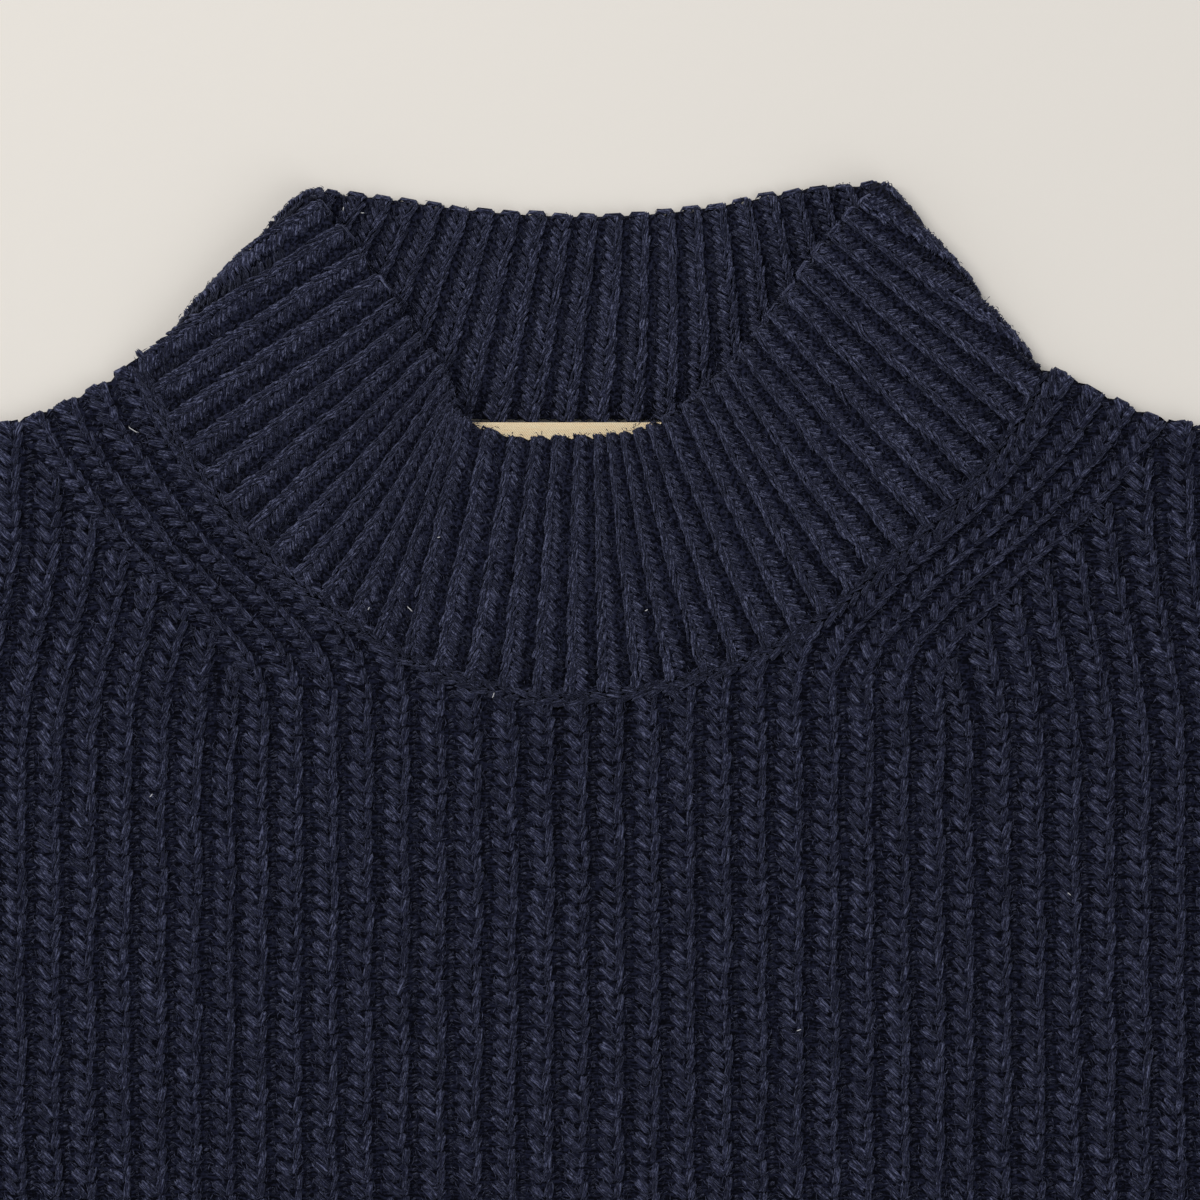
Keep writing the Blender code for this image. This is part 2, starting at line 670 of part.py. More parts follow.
class ArmholeBand:
    """A narrow rib trim round one armhole: front strip, shoulder fold, back strip, underarm fold."""

    def __init__(self, side):
        self.side = side
        self.line = armhole_line(side)[::-1]
        self.lengths = lengths_along(self.line)

    def station(self, distance):
        """(seam point, direction across the band, direction along it) at a distance from the underarm."""
        before = point_at(self.line, self.lengths, max(distance - BAND_SIGHT, 0.0))
        after = point_at(self.line, self.lengths, min(distance + BAND_SIGHT, self.lengths[-1]))
        along = (after - before) / np.linalg.norm(after - before)
        across = np.array((-along[1], along[0])) * -self.side
        if across[0] * self.side < 0:
            across = -across
        return point_at(self.line, self.lengths, distance), across, along

    def section(self, place, across, out, angle, raised):
        """The band's section at a station; angle is 90 degrees in front and -90 degrees behind."""
        middle = (BAND_FRONT_MIDDLE + BAND_BACK_MIDDLE) / 2
        radius = (BAND_FRONT_MIDDLE - BAND_BACK_MIDDLE) / 2
        points = []
        for reach, level, ribbed in BAND_PROFILE:
            distance = radius + level * BAND_WALL / 2 + (raised if ribbed else 0.0)
            flat = place + across * (SEAM_GAP + (BAND_WIDTH - SEAM_GAP) * reach)
            flat = flat + out * distance * math.cos(angle)
            points.append((*flat, middle + distance * math.sin(angle)))
        return points

    def build(self, material):
        """Makes the band's object."""
        fold = (BAND_FRONT_MIDDLE - BAND_BACK_MIDDLE) / 2 + BAND_WALL / 2
        start, end = fold, self.lengths[-1] - fold
        ribs = round((end - start) / BAND_RIB_PITCH)
        quarter = math.pi / 2
        sections = []
        for number in range(2 * ribs + 1):
            place, across, _ = self.station(start + (end - start) * number / (2 * ribs))
            raised = BAND_RIB if number % 2 else 0.0
            sections.append(self.section(place, across, across * 0.0, quarter, raised))
        place, across, along = self.station(end)
        for step in range(1, BAND_FOLD_STEPS):
            angle = quarter - math.pi * step / BAND_FOLD_STEPS
            sections.append(self.section(place, across, along, angle, 0.0))
        for number in range(BAND_BACK_STATIONS):
            share = 1 - number / (BAND_BACK_STATIONS - 1)
            place, across, _ = self.station(start + (end - start) * share)
            sections.append(self.section(place, across, across * 0.0, -quarter, 0.0))
        place, across, along = self.station(start)
        for step in range(1, BAND_FOLD_STEPS):
            angle = -quarter + math.pi * step / BAND_FOLD_STEPS
            sections.append(self.section(place, across, -along, angle, 0.0))
        points = [point for section in sections for point in section]
        name = "armhole_band_left" if self.side < 0 else "armhole_band_right"
        band = make_object(name, points, loop_faces(len(sections), len(sections[0])), material)
        face_outwards(band)
        return band


def build_label(material):
    """The plain tape label that lies on the back just under its neck seam."""
    width, depth, thick = LABEL_SIZE
    bpy.ops.mesh.primitive_cube_add(size=1.0)
    label = bpy.context.active_object
    label.name = label.data.name = "neck_label"
    label.dimensions = (width * MM, depth * MM, thick * MM)
    label.location = (
        LABEL_MIDDLE_X * MM,
        (LABEL_TOP_Y - depth / 2) * MM,
        (FRONT_BASE + thick / 2) * MM,
    )
    bpy.ops.object.transform_apply(location=True, rotation=False, scale=True)
    label.data.materials.append(material)
    for owner in list(label.users_collection):
        owner.objects.unlink(label)
    bpy.data.collections["vest"].objects.link(label)
    return label


def make_material(name):
    """A plain material of the part's colour and roughness."""
    colour, roughness = COLOURS[name]
    material = bpy.data.materials.new(name)
    material.use_nodes = True
    surface = material.node_tree.nodes["Principled BSDF"]
    surface.inputs["Base Color"].default_value = colour
    surface.inputs["Roughness"].default_value = roughness
    surface.inputs["Metallic"].default_value = 0.0
    return material


def clear_scene():
    """Removes what the scene starts with."""
    for thing in list(bpy.data.objects):
        bpy.data.objects.remove(thing, do_unlink=True)


def centre_on_origin(pieces):
    """Moves the pieces so that the origin is at the middle of the whole vest's underside."""
    places = np.array([vertex.co for piece in pieces for vertex in piece.data.vertices])
    low, high = places.min(axis=0), places.max(axis=0)
    shift = Vector((-(low[0] + high[0]) / 2, -(low[1] + high[1]) / 2, -low[2]))
    for piece in pieces:
        for vertex in piece.data.vertices:
            vertex.co += shift


def main():
    """Builds the vest."""
    clear_scene()
    group = bpy.data.collections.new("vest")
    bpy.context.scene.collection.children.link(group)
    materials = {name: make_material(name) for name in COLOURS}
    pieces = [
        build_back(materials["knit_navy"]),
        FrontPanel().build(materials["knit_navy"]),
        Collar().build(materials["rib_navy"]),
        ArmholeBand(-1).build(materials["rib_navy"]),
        ArmholeBand(1).build(materials["rib_navy"]),
        build_label(materials["label_cream"]),
    ]
    centre_on_origin(pieces)


main()
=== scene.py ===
"""Looks of a navy chunky rib knit vest with a doubled rib collar, lying flat on its back.

Lengths are in millimetres in the drawing plane, and MM turns them into metres where a mesh is made. In that
plane X runs across the chest and Y from the hem up to the collar, with Y = 0 at the middle of the front neck
seam. A wale is one rib: whole numbers are the valleys between ribs, and the halves are crests.
"""

import json
import logging
import math
from dataclasses import dataclass
from enum import Enum
from typing import Callable

import bmesh
import bpy
import numpy as np
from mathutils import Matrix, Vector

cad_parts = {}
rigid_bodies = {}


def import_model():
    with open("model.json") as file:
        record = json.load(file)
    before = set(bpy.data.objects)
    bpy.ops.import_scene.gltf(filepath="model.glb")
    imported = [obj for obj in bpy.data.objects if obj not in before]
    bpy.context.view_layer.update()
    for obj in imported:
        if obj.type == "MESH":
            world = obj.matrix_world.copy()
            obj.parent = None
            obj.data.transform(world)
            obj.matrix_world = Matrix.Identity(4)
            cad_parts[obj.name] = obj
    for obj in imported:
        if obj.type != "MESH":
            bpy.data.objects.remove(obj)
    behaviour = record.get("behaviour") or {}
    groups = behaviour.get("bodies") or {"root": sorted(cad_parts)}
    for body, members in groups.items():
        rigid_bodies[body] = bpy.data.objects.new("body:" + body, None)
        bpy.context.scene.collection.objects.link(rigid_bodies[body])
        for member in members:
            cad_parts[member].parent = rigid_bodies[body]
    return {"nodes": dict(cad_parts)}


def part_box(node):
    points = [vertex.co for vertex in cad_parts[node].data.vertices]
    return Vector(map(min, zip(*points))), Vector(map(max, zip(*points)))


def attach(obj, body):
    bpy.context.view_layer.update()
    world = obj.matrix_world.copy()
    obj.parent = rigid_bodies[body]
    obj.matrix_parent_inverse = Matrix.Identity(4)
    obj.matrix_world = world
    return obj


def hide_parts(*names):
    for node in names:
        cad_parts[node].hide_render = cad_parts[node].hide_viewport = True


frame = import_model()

Array = np.ndarray
Colour = tuple[float, float, float]
Place = tuple[float, float, float]
logging.basicConfig(level=logging.INFO, format="%(message)s")
log = logging.getLogger("vest")

MM = 0.001
FLAT_Z = (0.0, 0.0, 1.0)
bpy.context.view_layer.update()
LABEL_TOP_Y = 78.9
SHIFT_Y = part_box("neck_label")[1][1] / MM - LABEL_TOP_Y


class Side(Enum):
    """A side of the vest as the viewer sees it."""

    LEFT = -1.0
    RIGHT = 1.0


def smoothstep(value: Array | float, low: float, high: float) -> Array:
    """0 below low, 1 above high, and a soft turn between them."""
    share = np.clip((np.asarray(value, float) - low) / (high - low), 0.0, 1.0)
    return share * share * (3 - 2 * share)


def smooth_points(rows: object, step: float = 1.0) -> Array:
    """Points along a smooth curve through rows.

    Args:
        rows: The points that the curve goes through.
        step: The distance between the points that come back.

    Returns:
        An array of points, one a row.
    """
    points = np.array(rows, float)
    knots = lengths_along(points)
    slopes = np.gradient(points, knots, axis=0)
    places = np.linspace(0.0, knots[-1], int(knots[-1] / step) + 2)
    low = np.clip(np.searchsorted(knots, places, side="right") - 1, 0, len(knots) - 2)
    span = (knots[low + 1] - knots[low])[:, None]
    t = (places[:, None] - knots[low][:, None]) / span
    start = (1 + 2 * t) * (1 - t) ** 2 * points[low] + t * (1 - t) ** 2 * span * slopes[low]
    end = t**2 * (3 - 2 * t) * points[low + 1] + t**2 * (t - 1) * span * slopes[low + 1]
    return start + end


def lengths_along(points: Array) -> Array:
    """Distance from the first point to each point, along the line."""
    steps = np.linalg.norm(np.diff(points, axis=0), axis=1)
    return np.concatenate([[0.0], np.cumsum(steps)])


def points_at(points: Array, places: Array | float) -> Array:
    """The points of a line at these distances from its start."""
    lengths = lengths_along(points)
    return np.stack([np.interp(places, lengths, column) for column in points.T], axis=-1)


def unit(vectors: Array) -> Array:
    """The vectors, each made one long."""
    return vectors / np.maximum(np.linalg.norm(vectors, axis=-1, keepdims=True), 1e-9)


def wander(places: Array, seed: int, wave: float, waves: int = 4, spread: float = 2.4) -> Array:
    """A smooth random value for each place, about -1 to 1, that changes over about one wave.

    Args:
        places: The places, one a row.
        seed: The seed of the waves' directions.
        wave: The length of one wave.
        waves: How many waves are added up.
        spread: What their sum is divided by.

    Returns:
        One value for each place.
    """
    rng = np.random.default_rng(seed)
    total = np.zeros(len(places))
    for _ in range(waves):
        turn = rng.normal(0.0, 2 * math.pi / wave, places.shape[-1])
        total += np.sin(places @ turn + rng.uniform(0, 2 * math.pi))
    return total / spread


@dataclass(frozen=True)
class Cut:
    """The vest's cut: the same named sizes as its solids."""

    pitch: float = 10.35
    hem_y: float = -520.0
    underarm_y: float = -160.0
    side_wale: float = 27.0
    hem_draw: float = 0.03
    arm_wale: float = 20.5
    arm_curve_top: float = -70.0
    front_base: float = 4.3
    band_start: float = 6.0
    band_end: float = 10.0
    band_reach: float = 45.0
    bend_softness: float = 16.0
    lean: float = 11.0
    lean_span: tuple[float, float] = (-20.0, 56.0)
    lean_fade: tuple[float, float] = (16.0, 0.3)
    shoulder_tip_y: float = 67.0
    seam: tuple[tuple[float, float], ...] = (
        (-133.2, 97.9), (-122.0, 75.0), (-109.8, 57.8), (-97.1, 43.2), (-82.0, 29.6), (-61.5, 15.2),
        (-38.0, 4.2), (-15.0, -0.6), (11.0, 0.6), (32.0, 5.4), (50.0, 12.0), (66.0, 21.5),
        (81.0, 34.4), (103.0, 52.9), (118.0, 70.3), (132.9, 93.5),
    )
    shoulder: tuple[tuple[float, float], ...] = (
        (141.5, 91.0), (149.0, 87.0), (156.5, 83.3), (164.0, 80.3), (174.0, 77.6),
    )
    back_seam: tuple[tuple[float, float], ...] = (
        (-88.0, 85.0), (-42.0, 79.6), (0.0, 79.2), (42.0, 79.6), (88.0, 84.6),
    )

    def seam_line(self) -> Array:
        """The front neck seam from the left neck point to the right one."""
        return smooth_points(self.seam)

    def seam_reach(self, side: float, y: Array) -> Array:
        """How far the front neck seam is from the centre line, level with y.

        Args:
            side: -1 for the left, 1 for the right.
            y: Heights in the drawing plane.

        Returns:
            The reach at each height.
        """
        line = self.seam_line()
        low = int(np.argmin(line[:, 1]))
        half = line[low::-1] if side < 0 else line[low:]
        return np.abs(np.interp(y, half[:, 1], half[:, 0]))

    def soft_max(self, first: Array | float, second: Array) -> Array:
        """The larger of two reaches, with the corner between them bent softly."""
        return (first + second + np.hypot(first - second, self.bend_softness)) / 2

    def wale_x(self, wale: float, y: Array) -> Array:
        """x of a wale of the front at the heights y.

        Args:
            wale: The wale's number, outwards from 0 on the centre line, negative on the left.
            y: Heights in the drawing plane.

        Returns:
            The x of the wale at each height.
        """
        side = -1.0 if wale < 0 else 1.0
        number = abs(wale)
        y = np.asarray(y, float)
        start, end = self.band_start, self.band_end
        inner = self.soft_max(start * self.pitch, self.seam_reach(side, y))
        outer = self.soft_max(end * self.pitch, self.seam_reach(side, y) + self.band_reach)
        if number <= start:
            reach = number * self.pitch + (number / start) ** 2 * (inner - start * self.pitch)
        elif number <= end:
            reach = inner + (outer - inner) * (number - start) / (end - start)
        else:
            fade = np.interp(number, (self.lean_fade[0], self.arm_wale), (1.0, self.lean_fade[1]))
            reach = number * self.pitch - self.lean * fade * smoothstep(y, *self.lean_span)
        drop = (self.underarm_y - y) / (self.underarm_y - self.hem_y)
        return side * reach * (1 - self.hem_draw * np.clip(drop, 0.0, 1.0))

    def shoulder_line(self, side: float) -> Array:
        """The shoulder from the neck point to the armhole.

        Args:
            side: -1 for the left, 1 for the right.

        Returns:
            Points, one a row.
        """
        neck = self.seam[0] if side < 0 else self.seam[-1]
        tip = (abs(float(self.wale_x(self.arm_wale, self.shoulder_tip_y))), self.shoulder_tip_y)
        return smooth_points(((abs(neck[0]), neck[1]), *self.shoulder, tip)) * (side, 1.0)

    def armhole_line(self, side: float) -> Array:
        """The armhole edge from the shoulder tip down its wale and round to the underarm.

        Args:
            side: -1 for the left, 1 for the right.

        Returns:
            Points, one a row.
        """
        heights = np.arange(self.shoulder_tip_y, self.arm_curve_top, -1.0)
        straight = np.column_stack([np.abs(self.wale_x(self.arm_wale, heights)), heights])
        underarm = self.side_wale * self.pitch
        across = underarm - self.arm_wale * self.pitch
        down = self.arm_curve_top - self.underarm_y
        turn = np.linspace(math.pi / 2, 0.0, 90)
        curve = (underarm - across * np.sin(turn), self.arm_curve_top - down * np.cos(turn))
        return np.vstack([straight, np.column_stack(curve)]) * (side, 1.0)

    def side_line(self, side: float) -> Array:
        """The side seam from the underarm down to the hem corner."""
        heights = np.linspace(self.underarm_y, self.hem_y, 60)
        return np.column_stack([self.wale_x(side * self.side_wale, heights), heights])

    def outline(self) -> Array:
        """The front's outline, anticlockwise from the left neck point.

        Returns:
            Points, one a row.
        """
        left = (self.shoulder_line(-1.0), self.armhole_line(-1.0), self.side_line(-1.0))
        right = (self.side_line(1.0)[::-1], self.armhole_line(1.0)[::-1], self.shoulder_line(1.0)[::-1])
        return np.vstack([*left, *right, self.seam_line()[::-1]])


def inside(outline: Array, places: Array) -> Array:
    """Whether each place is inside a closed outline, by counting the edges to its right.

    Args:
        outline: The outline's points.
        places: The places.

    Returns:
        True for each place inside.
    """
    x, y = places[:, 0, None], places[:, 1, None]
    (x0, y0), (x1, y1) = outline.T, np.roll(outline, -1, axis=0).T
    across = (y0 > y) != (y1 > y)
    rise = np.where(y1 == y0, 1.0, y1 - y0)
    return (across & (x < (x1 - x0) * (y - y0) / rise + x0)).sum(axis=1) % 2 == 1


CUT = Cut()
OUTLINE = CUT.outline()


@dataclass
class Rows:
    """The places of loops.

    Each has a frame of three directions, the width of its rib, the pitch of its row, and how much the cloth
    bends across and along the rib.
    """

    centre: Array
    across: Array
    along: Array
    width: Array
    pitch: Array
    bend: Array

    def up(self) -> Array:
        """The direction out of the cloth at each loop."""
        return unit(np.cross(self.across, self.along))

    def keep(self, mask: Array) -> "Rows":
        """Only the loops where mask is true."""
        return Rows(*(getattr(self, name)[mask] for name in self.names()))

    @staticmethod
    def names() -> tuple[str, ...]:
        """What each loop has."""
        return ("centre", "across", "along", "width", "pitch", "bend")

    @staticmethod
    def joined(parts: list["Rows"]) -> "Rows":
        """Several sets of rows as one."""
        return Rows(*(np.concatenate([getattr(part, name) for part in parts]) for name in Rows.names()))


@dataclass(frozen=True)
class Leg:
    """One side of a knitted loop: plies of yarn that rise out of the cloth together and dive back.

    foot and tip are (share of the rib's width, share of the row's pitch, height in millimetres). arch is how
    far the middle rises, bow how far it moves across the rib, and spread half the width of the plies side by
    side, all in millimetres. rings is the number of rings of points in a ply.
    """

    foot: tuple[float, float, float]
    tip: tuple[float, float, float]
    arch: float
    radius: float
    plies: int = 2
    spread: float = 0.8
    bow: float = 0.0
    rings: int = 2


@dataclass(frozen=True)
class Fluff:
    """Fine hairs that lie on the yarn, so many to a loop.

    height is where they lie on the rib's crest and drop how much lower they lie at its sides. length is the
    shortest and the longest. lean is their direction in degrees on the left and on the right of the rib, and
    scatter how much that varies, in radians.
    """

    count: int
    height: float
    drop: float
    length: tuple[float, float]
    radius: float
    lean: tuple[float, float]
    scatter: float = 0.5


class Yarn:
    """Collects plies and hairs of yarn and makes them one mesh."""

    SIDES = 3
    ROUND = (0.5, 0.1, 0.9)
    STATIONS = {1: (0.0, 0.5, 1.0), 2: (0.0, 0.2, 0.8, 1.0)}
    THICK = 0.9
    LOWEST = 0.05
    UNEVEN = 0.085
    UNEVEN_PLACE = (0.35, 0.6)
    UNEVEN_HEIGHT = 2.0
    UNEVEN_RADIUS = 0.16
    UNEVEN_ARCH = 0.12
    STRAY = 0.20
    OUTER_ARCH = 0.35
    HAIR_SIDES = (0.26, 0.5)
    HAIR_HEIGHTS = (-0.5, 0.3)
    HAIR_RIDGE = 0.08
    HAIR_SLOPE = 0.22
    HAIR_ARCH = (0.08, 0.10)
    HAIR_BOW = 0.14

    def __init__(self, seed: int, deep: float, crest: float) -> None:
        """Starts an empty mesh.

        Args:
            seed: The seed of its random draws.
            deep: The height in a loop's frame where its painted shade is darkest.
            crest: The height from which the yarn has no painted shade, only its full colour.
        """
        self.rng = np.random.default_rng(seed)
        self.deep = deep
        self.crest = crest
        self.parts: list[tuple[Array, Array, Array, int]] = []

    def lay(self, rows: Rows, leg: Leg, grow: Array | float = 1.0) -> None:
        """Lays one leg on every loop of rows.

        Args:
            rows: Where the loops are.
            leg: The leg's shape.
            grow: A factor on the yarn's thickness, for each loop or for all.
        """
        count = len(rows.centre)
        across, along = self.UNEVEN_PLACE
        shake = self.rng.normal(0.0, self.UNEVEN, (count, 2, 3)) * (1.0, 1.0, self.UNEVEN_HEIGHT)
        shake = shake * np.stack([rows.width * across, rows.pitch * along, np.ones(count)], axis=1)[:, None]
        scale = np.stack([rows.width, rows.pitch, np.ones(count)], axis=1)
        foot = np.array(leg.foot) * scale + shake[:, 0]
        tip = np.array(leg.tip) * scale + shake[:, 1]
        aside = np.cross(unit((tip - foot) * (1.0, 1.0, 0.0)), FLAT_Z)
        for ply in range(leg.plies):
            share = 2 * (ply + 0.5) / leg.plies - 1
            stray = (share + self.rng.normal(0.0, self.STRAY, (2, count, 1))) * leg.spread
            stray = stray * np.reshape(grow, (-1, 1))
            radius = leg.radius * grow * (1 + self.rng.normal(0.0, self.UNEVEN_RADIUS, count))
            arch = leg.arch * (1 - self.OUTER_ARCH * share**2) + self.rng.normal(0.0, self.UNEVEN_ARCH, count)
            bow = np.full(count, leg.bow)
            self.strand(rows, foot + aside * stray[0], tip + aside * stray[1], arch, bow, radius, leg.rings)

    def fluff(self, rows: Rows, kind: Fluff) -> None:
        """Scatters hairs over the loops of rows.

        Args:
            rows: Where the loops are.
            kind: The hairs' number, size and direction.
        """
        many = Rows(*(np.repeat(getattr(rows, name), kind.count, axis=0) for name in Rows.names()))
        count = len(many.centre)
        spot = self.rng.uniform(-0.5, 0.5, (count, 2))
        low = kind.drop * smoothstep(np.abs(spot[:, 0]), *self.HAIR_SIDES)
        height = kind.height - low + self.rng.uniform(*self.HAIR_HEIGHTS, count)
        middle = np.column_stack([spot * np.column_stack([many.width, many.pitch]), height])
        turn = np.radians(np.where(spot[:, 0] < self.HAIR_RIDGE, *kind.lean))
        turn += self.rng.normal(0.0, kind.scatter, count)
        reach = self.rng.uniform(*kind.length, count)
        run = np.column_stack([np.cos(turn), np.sin(turn), self.rng.normal(0.0, self.HAIR_SLOPE, count)])
        half = run * (reach / 2)[:, None]
        arch = reach * self.rng.normal(*self.HAIR_ARCH, count)
        bow = reach * self.rng.normal(0.0, self.HAIR_BOW, count)
        self.strand(many, middle - half, middle + half, arch, bow, np.full(count, kind.radius), 1)

    def strand(
        self,
        rows: Rows,
        first: Array,
        last: Array,
        arch: Array,
        bow: Array,
        radius: Array,
        rings: int,
    ) -> None:
        """Adds one closed strand for each loop, thick in its middle and pointed at its ends.

        Args:
            rows: The loops' frames.
            first: Where each strand starts, in its loop's frame.
            last: Where it ends.
            arch: How far its middle stands up.
            bow: How far its middle moves across the rib.
            radius: Its thickness.
            rings: How many rings of points it has.
        """
        count = len(first)
        s = np.array(self.STATIONS[rings])[None, :, None]
        lines = first[:, None] + (last - first)[:, None] * s
        hump = np.sin(np.pi * s[..., 0])
        lines[..., 2] += arch[:, None] * hump
        lines[..., 0] += bow[:, None] * hump
        # Painted shade: a share from 0 at the deep height to 1 at the crest, which darkens the low parts of
        # each strand.
        shade = smoothstep(lines[..., 2], self.deep, self.crest)
        lines[..., 2] -= (rows.bend[:, None] * lines[..., :2] ** 2).sum(axis=-1) / 2
        along = unit(np.gradient(lines, axis=1))
        side = unit(np.cross(along, FLAT_Z))
        lift = np.cross(side, along)
        turns = np.radians(90.0 + 360.0 * np.arange(self.SIDES) / self.SIDES)
        round_it = side[:, 1:-1, None] * np.cos(turns)[None, None, :, None]
        round_it = round_it + lift[:, 1:-1, None] * (np.sin(turns) * self.THICK)[None, None, :, None]
        middle = lines[:, 1:-1, None] + radius[:, None, None, None] * round_it
        local = np.concatenate([lines[:, :1], middle.reshape(count, -1, 3), lines[:, -1:]], axis=1)
        basis = np.stack([rows.across, rows.along, rows.up()], axis=1)
        points = rows.centre[:, None] + np.einsum("nvk,nkc->nvc", local, basis)
        rounds = np.repeat(shade[:, 1:-1], self.SIDES, axis=1)
        shades = np.concatenate([shade[:, :1], rounds, shade[:, -1:]], axis=1)
        self.parts.append((points, shades, self.rng.uniform(0.0, 1.0, count), rings))

    def faces(self, rings: int) -> Array:
        """The triangles of one strand.

        Args:
            rings: How many rings of points it has.

        Returns:
            Rows of three point numbers.
        """
        sides = self.SIDES
        last = 1 + rings * sides
        found = []
        for place in range(sides):
            after = (place + 1) % sides
            found.append((0, 1 + after, 1 + place))
            found.append((last, last - sides + place, last - sides + after))
            for ring in range(1, last - sides, sides):
                low, high = (ring + place, ring + after), (ring + sides + place, ring + sides + after)
                found += [(low[0], low[1], high[1]), (low[0], high[1], high[0])]
        return np.array(found)

    def uv(self, rings: int) -> Array:
        """The UV place of each point of one strand: round it, and along it."""
        middle = [(u, s) for s in self.STATIONS[rings][1:-1] for u in self.ROUND]
        return np.array([(0.5, 0.0), *middle, (0.5, 1.0)])

    def build(self, name: str, material: bpy.types.Material) -> bpy.types.Object:
        """Makes the mesh, with a UV map along each strand, a tone for each and the painted shade of its
        points.

        Args:
            name: The object's name.
            material: The yarn's material.

        Returns:
            The mesh object.
        """
        flats, faces, uvs, tones, shades_by_height = [], [], [], [], []
        base = 0
        for points, shades, tone, rings in self.parts:
            count, size = points.shape[:2]
            template = self.faces(rings)
            first, second, third = (points[0][template[:, k]] - points[0, 0] for k in range(3))
            volume = np.einsum("ij,ij->", first, np.cross(second, third))
            template = template if volume > 0 else template[:, ::-1]
            starts = base + np.arange(count) * size
            faces.append((template[None] + starts[:, None, None]).reshape(-1, 3))
            flats.append(points.reshape(-1, 3))
            uvs.append(np.tile(self.uv(rings), (count, 1)))
            tones.append(np.repeat(tone, size))
            shades_by_height.append(shades.ravel())
            base += count * size
        flat = np.concatenate(flats)
        flat[:, 2] = np.maximum(flat[:, 2], self.LOWEST)
        # The points' painted shade by height goes to the material as a mesh attribute.
        marks = {"tone": np.concatenate(tones), "shade_by_height": np.concatenate(shades_by_height)}
        return mesh_object(name, flat, np.concatenate(faces), material, np.concatenate(uvs), marks)


def mesh_object(
    name: str,
    points: Array,
    faces: Array,
    material: bpy.types.Material,
    uv: Array | None = None,
    marks: dict[str, Array] | None = None,
) -> bpy.types.Object:
    """A smooth triangle mesh object from points in the drawing's millimetres.

    Args:
        name: The object's name.
        points: Its points, with heights above the surface that the vest lies on.
        faces: Rows of three point numbers.
        material: Its material.
        uv: A UV place for each point.
        marks: Named values for each point, which vary the yarn's colour, among them its painted shade.

    Returns:
        The new object.
    """
    mesh = bpy.data.meshes.new(name)
    moved = (points + (0.0, SHIFT_Y, 0.0)) * MM
    mesh.vertices.add(len(moved))
    mesh.vertices.foreach_set("co", moved.astype(np.float32).ravel())
    loops = faces.astype(np.int32).ravel()
    mesh.loops.add(len(loops))
    mesh.loops.foreach_set("vertex_index", loops)
    mesh.polygons.add(len(faces))
    mesh.polygons.foreach_set("loop_start", np.arange(0, len(loops), 3, dtype=np.int32))
    mesh.update(calc_edges=True)
    if uv is not None:
        layer = mesh.uv_layers.new(name="yarn")
        layer.data.foreach_set("uv", uv[loops].astype(np.float32).ravel())
    for mark, values in (marks or {}).items():
        attribute = mesh.attributes.new(mark, "FLOAT", "POINT")
        attribute.data.foreach_set("value", values.astype(np.float32))
    mesh.shade_smooth()
    mesh.materials.append(material)
    thing = bpy.data.objects.new(name, mesh)
    bpy.context.scene.collection.objects.link(thing)
    return thing


class Value:
    """A socket of a material's node tree, so that shader maths reads as an expression."""

    def __init__(self, graph: "Graph", socket: bpy.types.NodeSocket) -> None:
        """Wraps a socket of a graph."""
        self.graph = graph
        self.socket = socket

    def math(self, operation: str, first: object, second: object = None) -> "Value":
        """A Math node on two values."""
        inputs = {0: first} if second is None else {0: first, 1: second}
        return self.graph.node("ShaderNodeMath", {"operation": operation}, inputs)["Value"]

    def __add__(self, other: object) -> "Value":
        """The sum."""
        return self.math("ADD", self, other)

    def __sub__(self, other: object) -> "Value":
        """The difference."""
        return self.math("SUBTRACT", self, other)

    def __rsub__(self, other: object) -> "Value":
        """The difference, with the number first."""
        return self.math("SUBTRACT", other, self)

    def __mul__(self, other: object) -> "Value":
        """The product."""
        return self.math("MULTIPLY", self, other)

    __radd__ = __add__
    __rmul__ = __mul__

    def sine(self) -> "Value":
        """The sine."""
        return self.math("SINE", self)

    def cosine(self) -> "Value":
        """The cosine."""
        return self.math("COSINE", self)

    def fraction(self) -> "Value":
        """The part after the point."""
        return self.math("FRACT", self)

    def size(self) -> "Value":
        """The value without its sign."""
        return self.math("ABSOLUTE", self)

    def clamped(self) -> "Value":
        """The value, held between 0 and 1."""
        return self.math("MINIMUM", self.math("MAXIMUM", self, 0.0), 1.0)


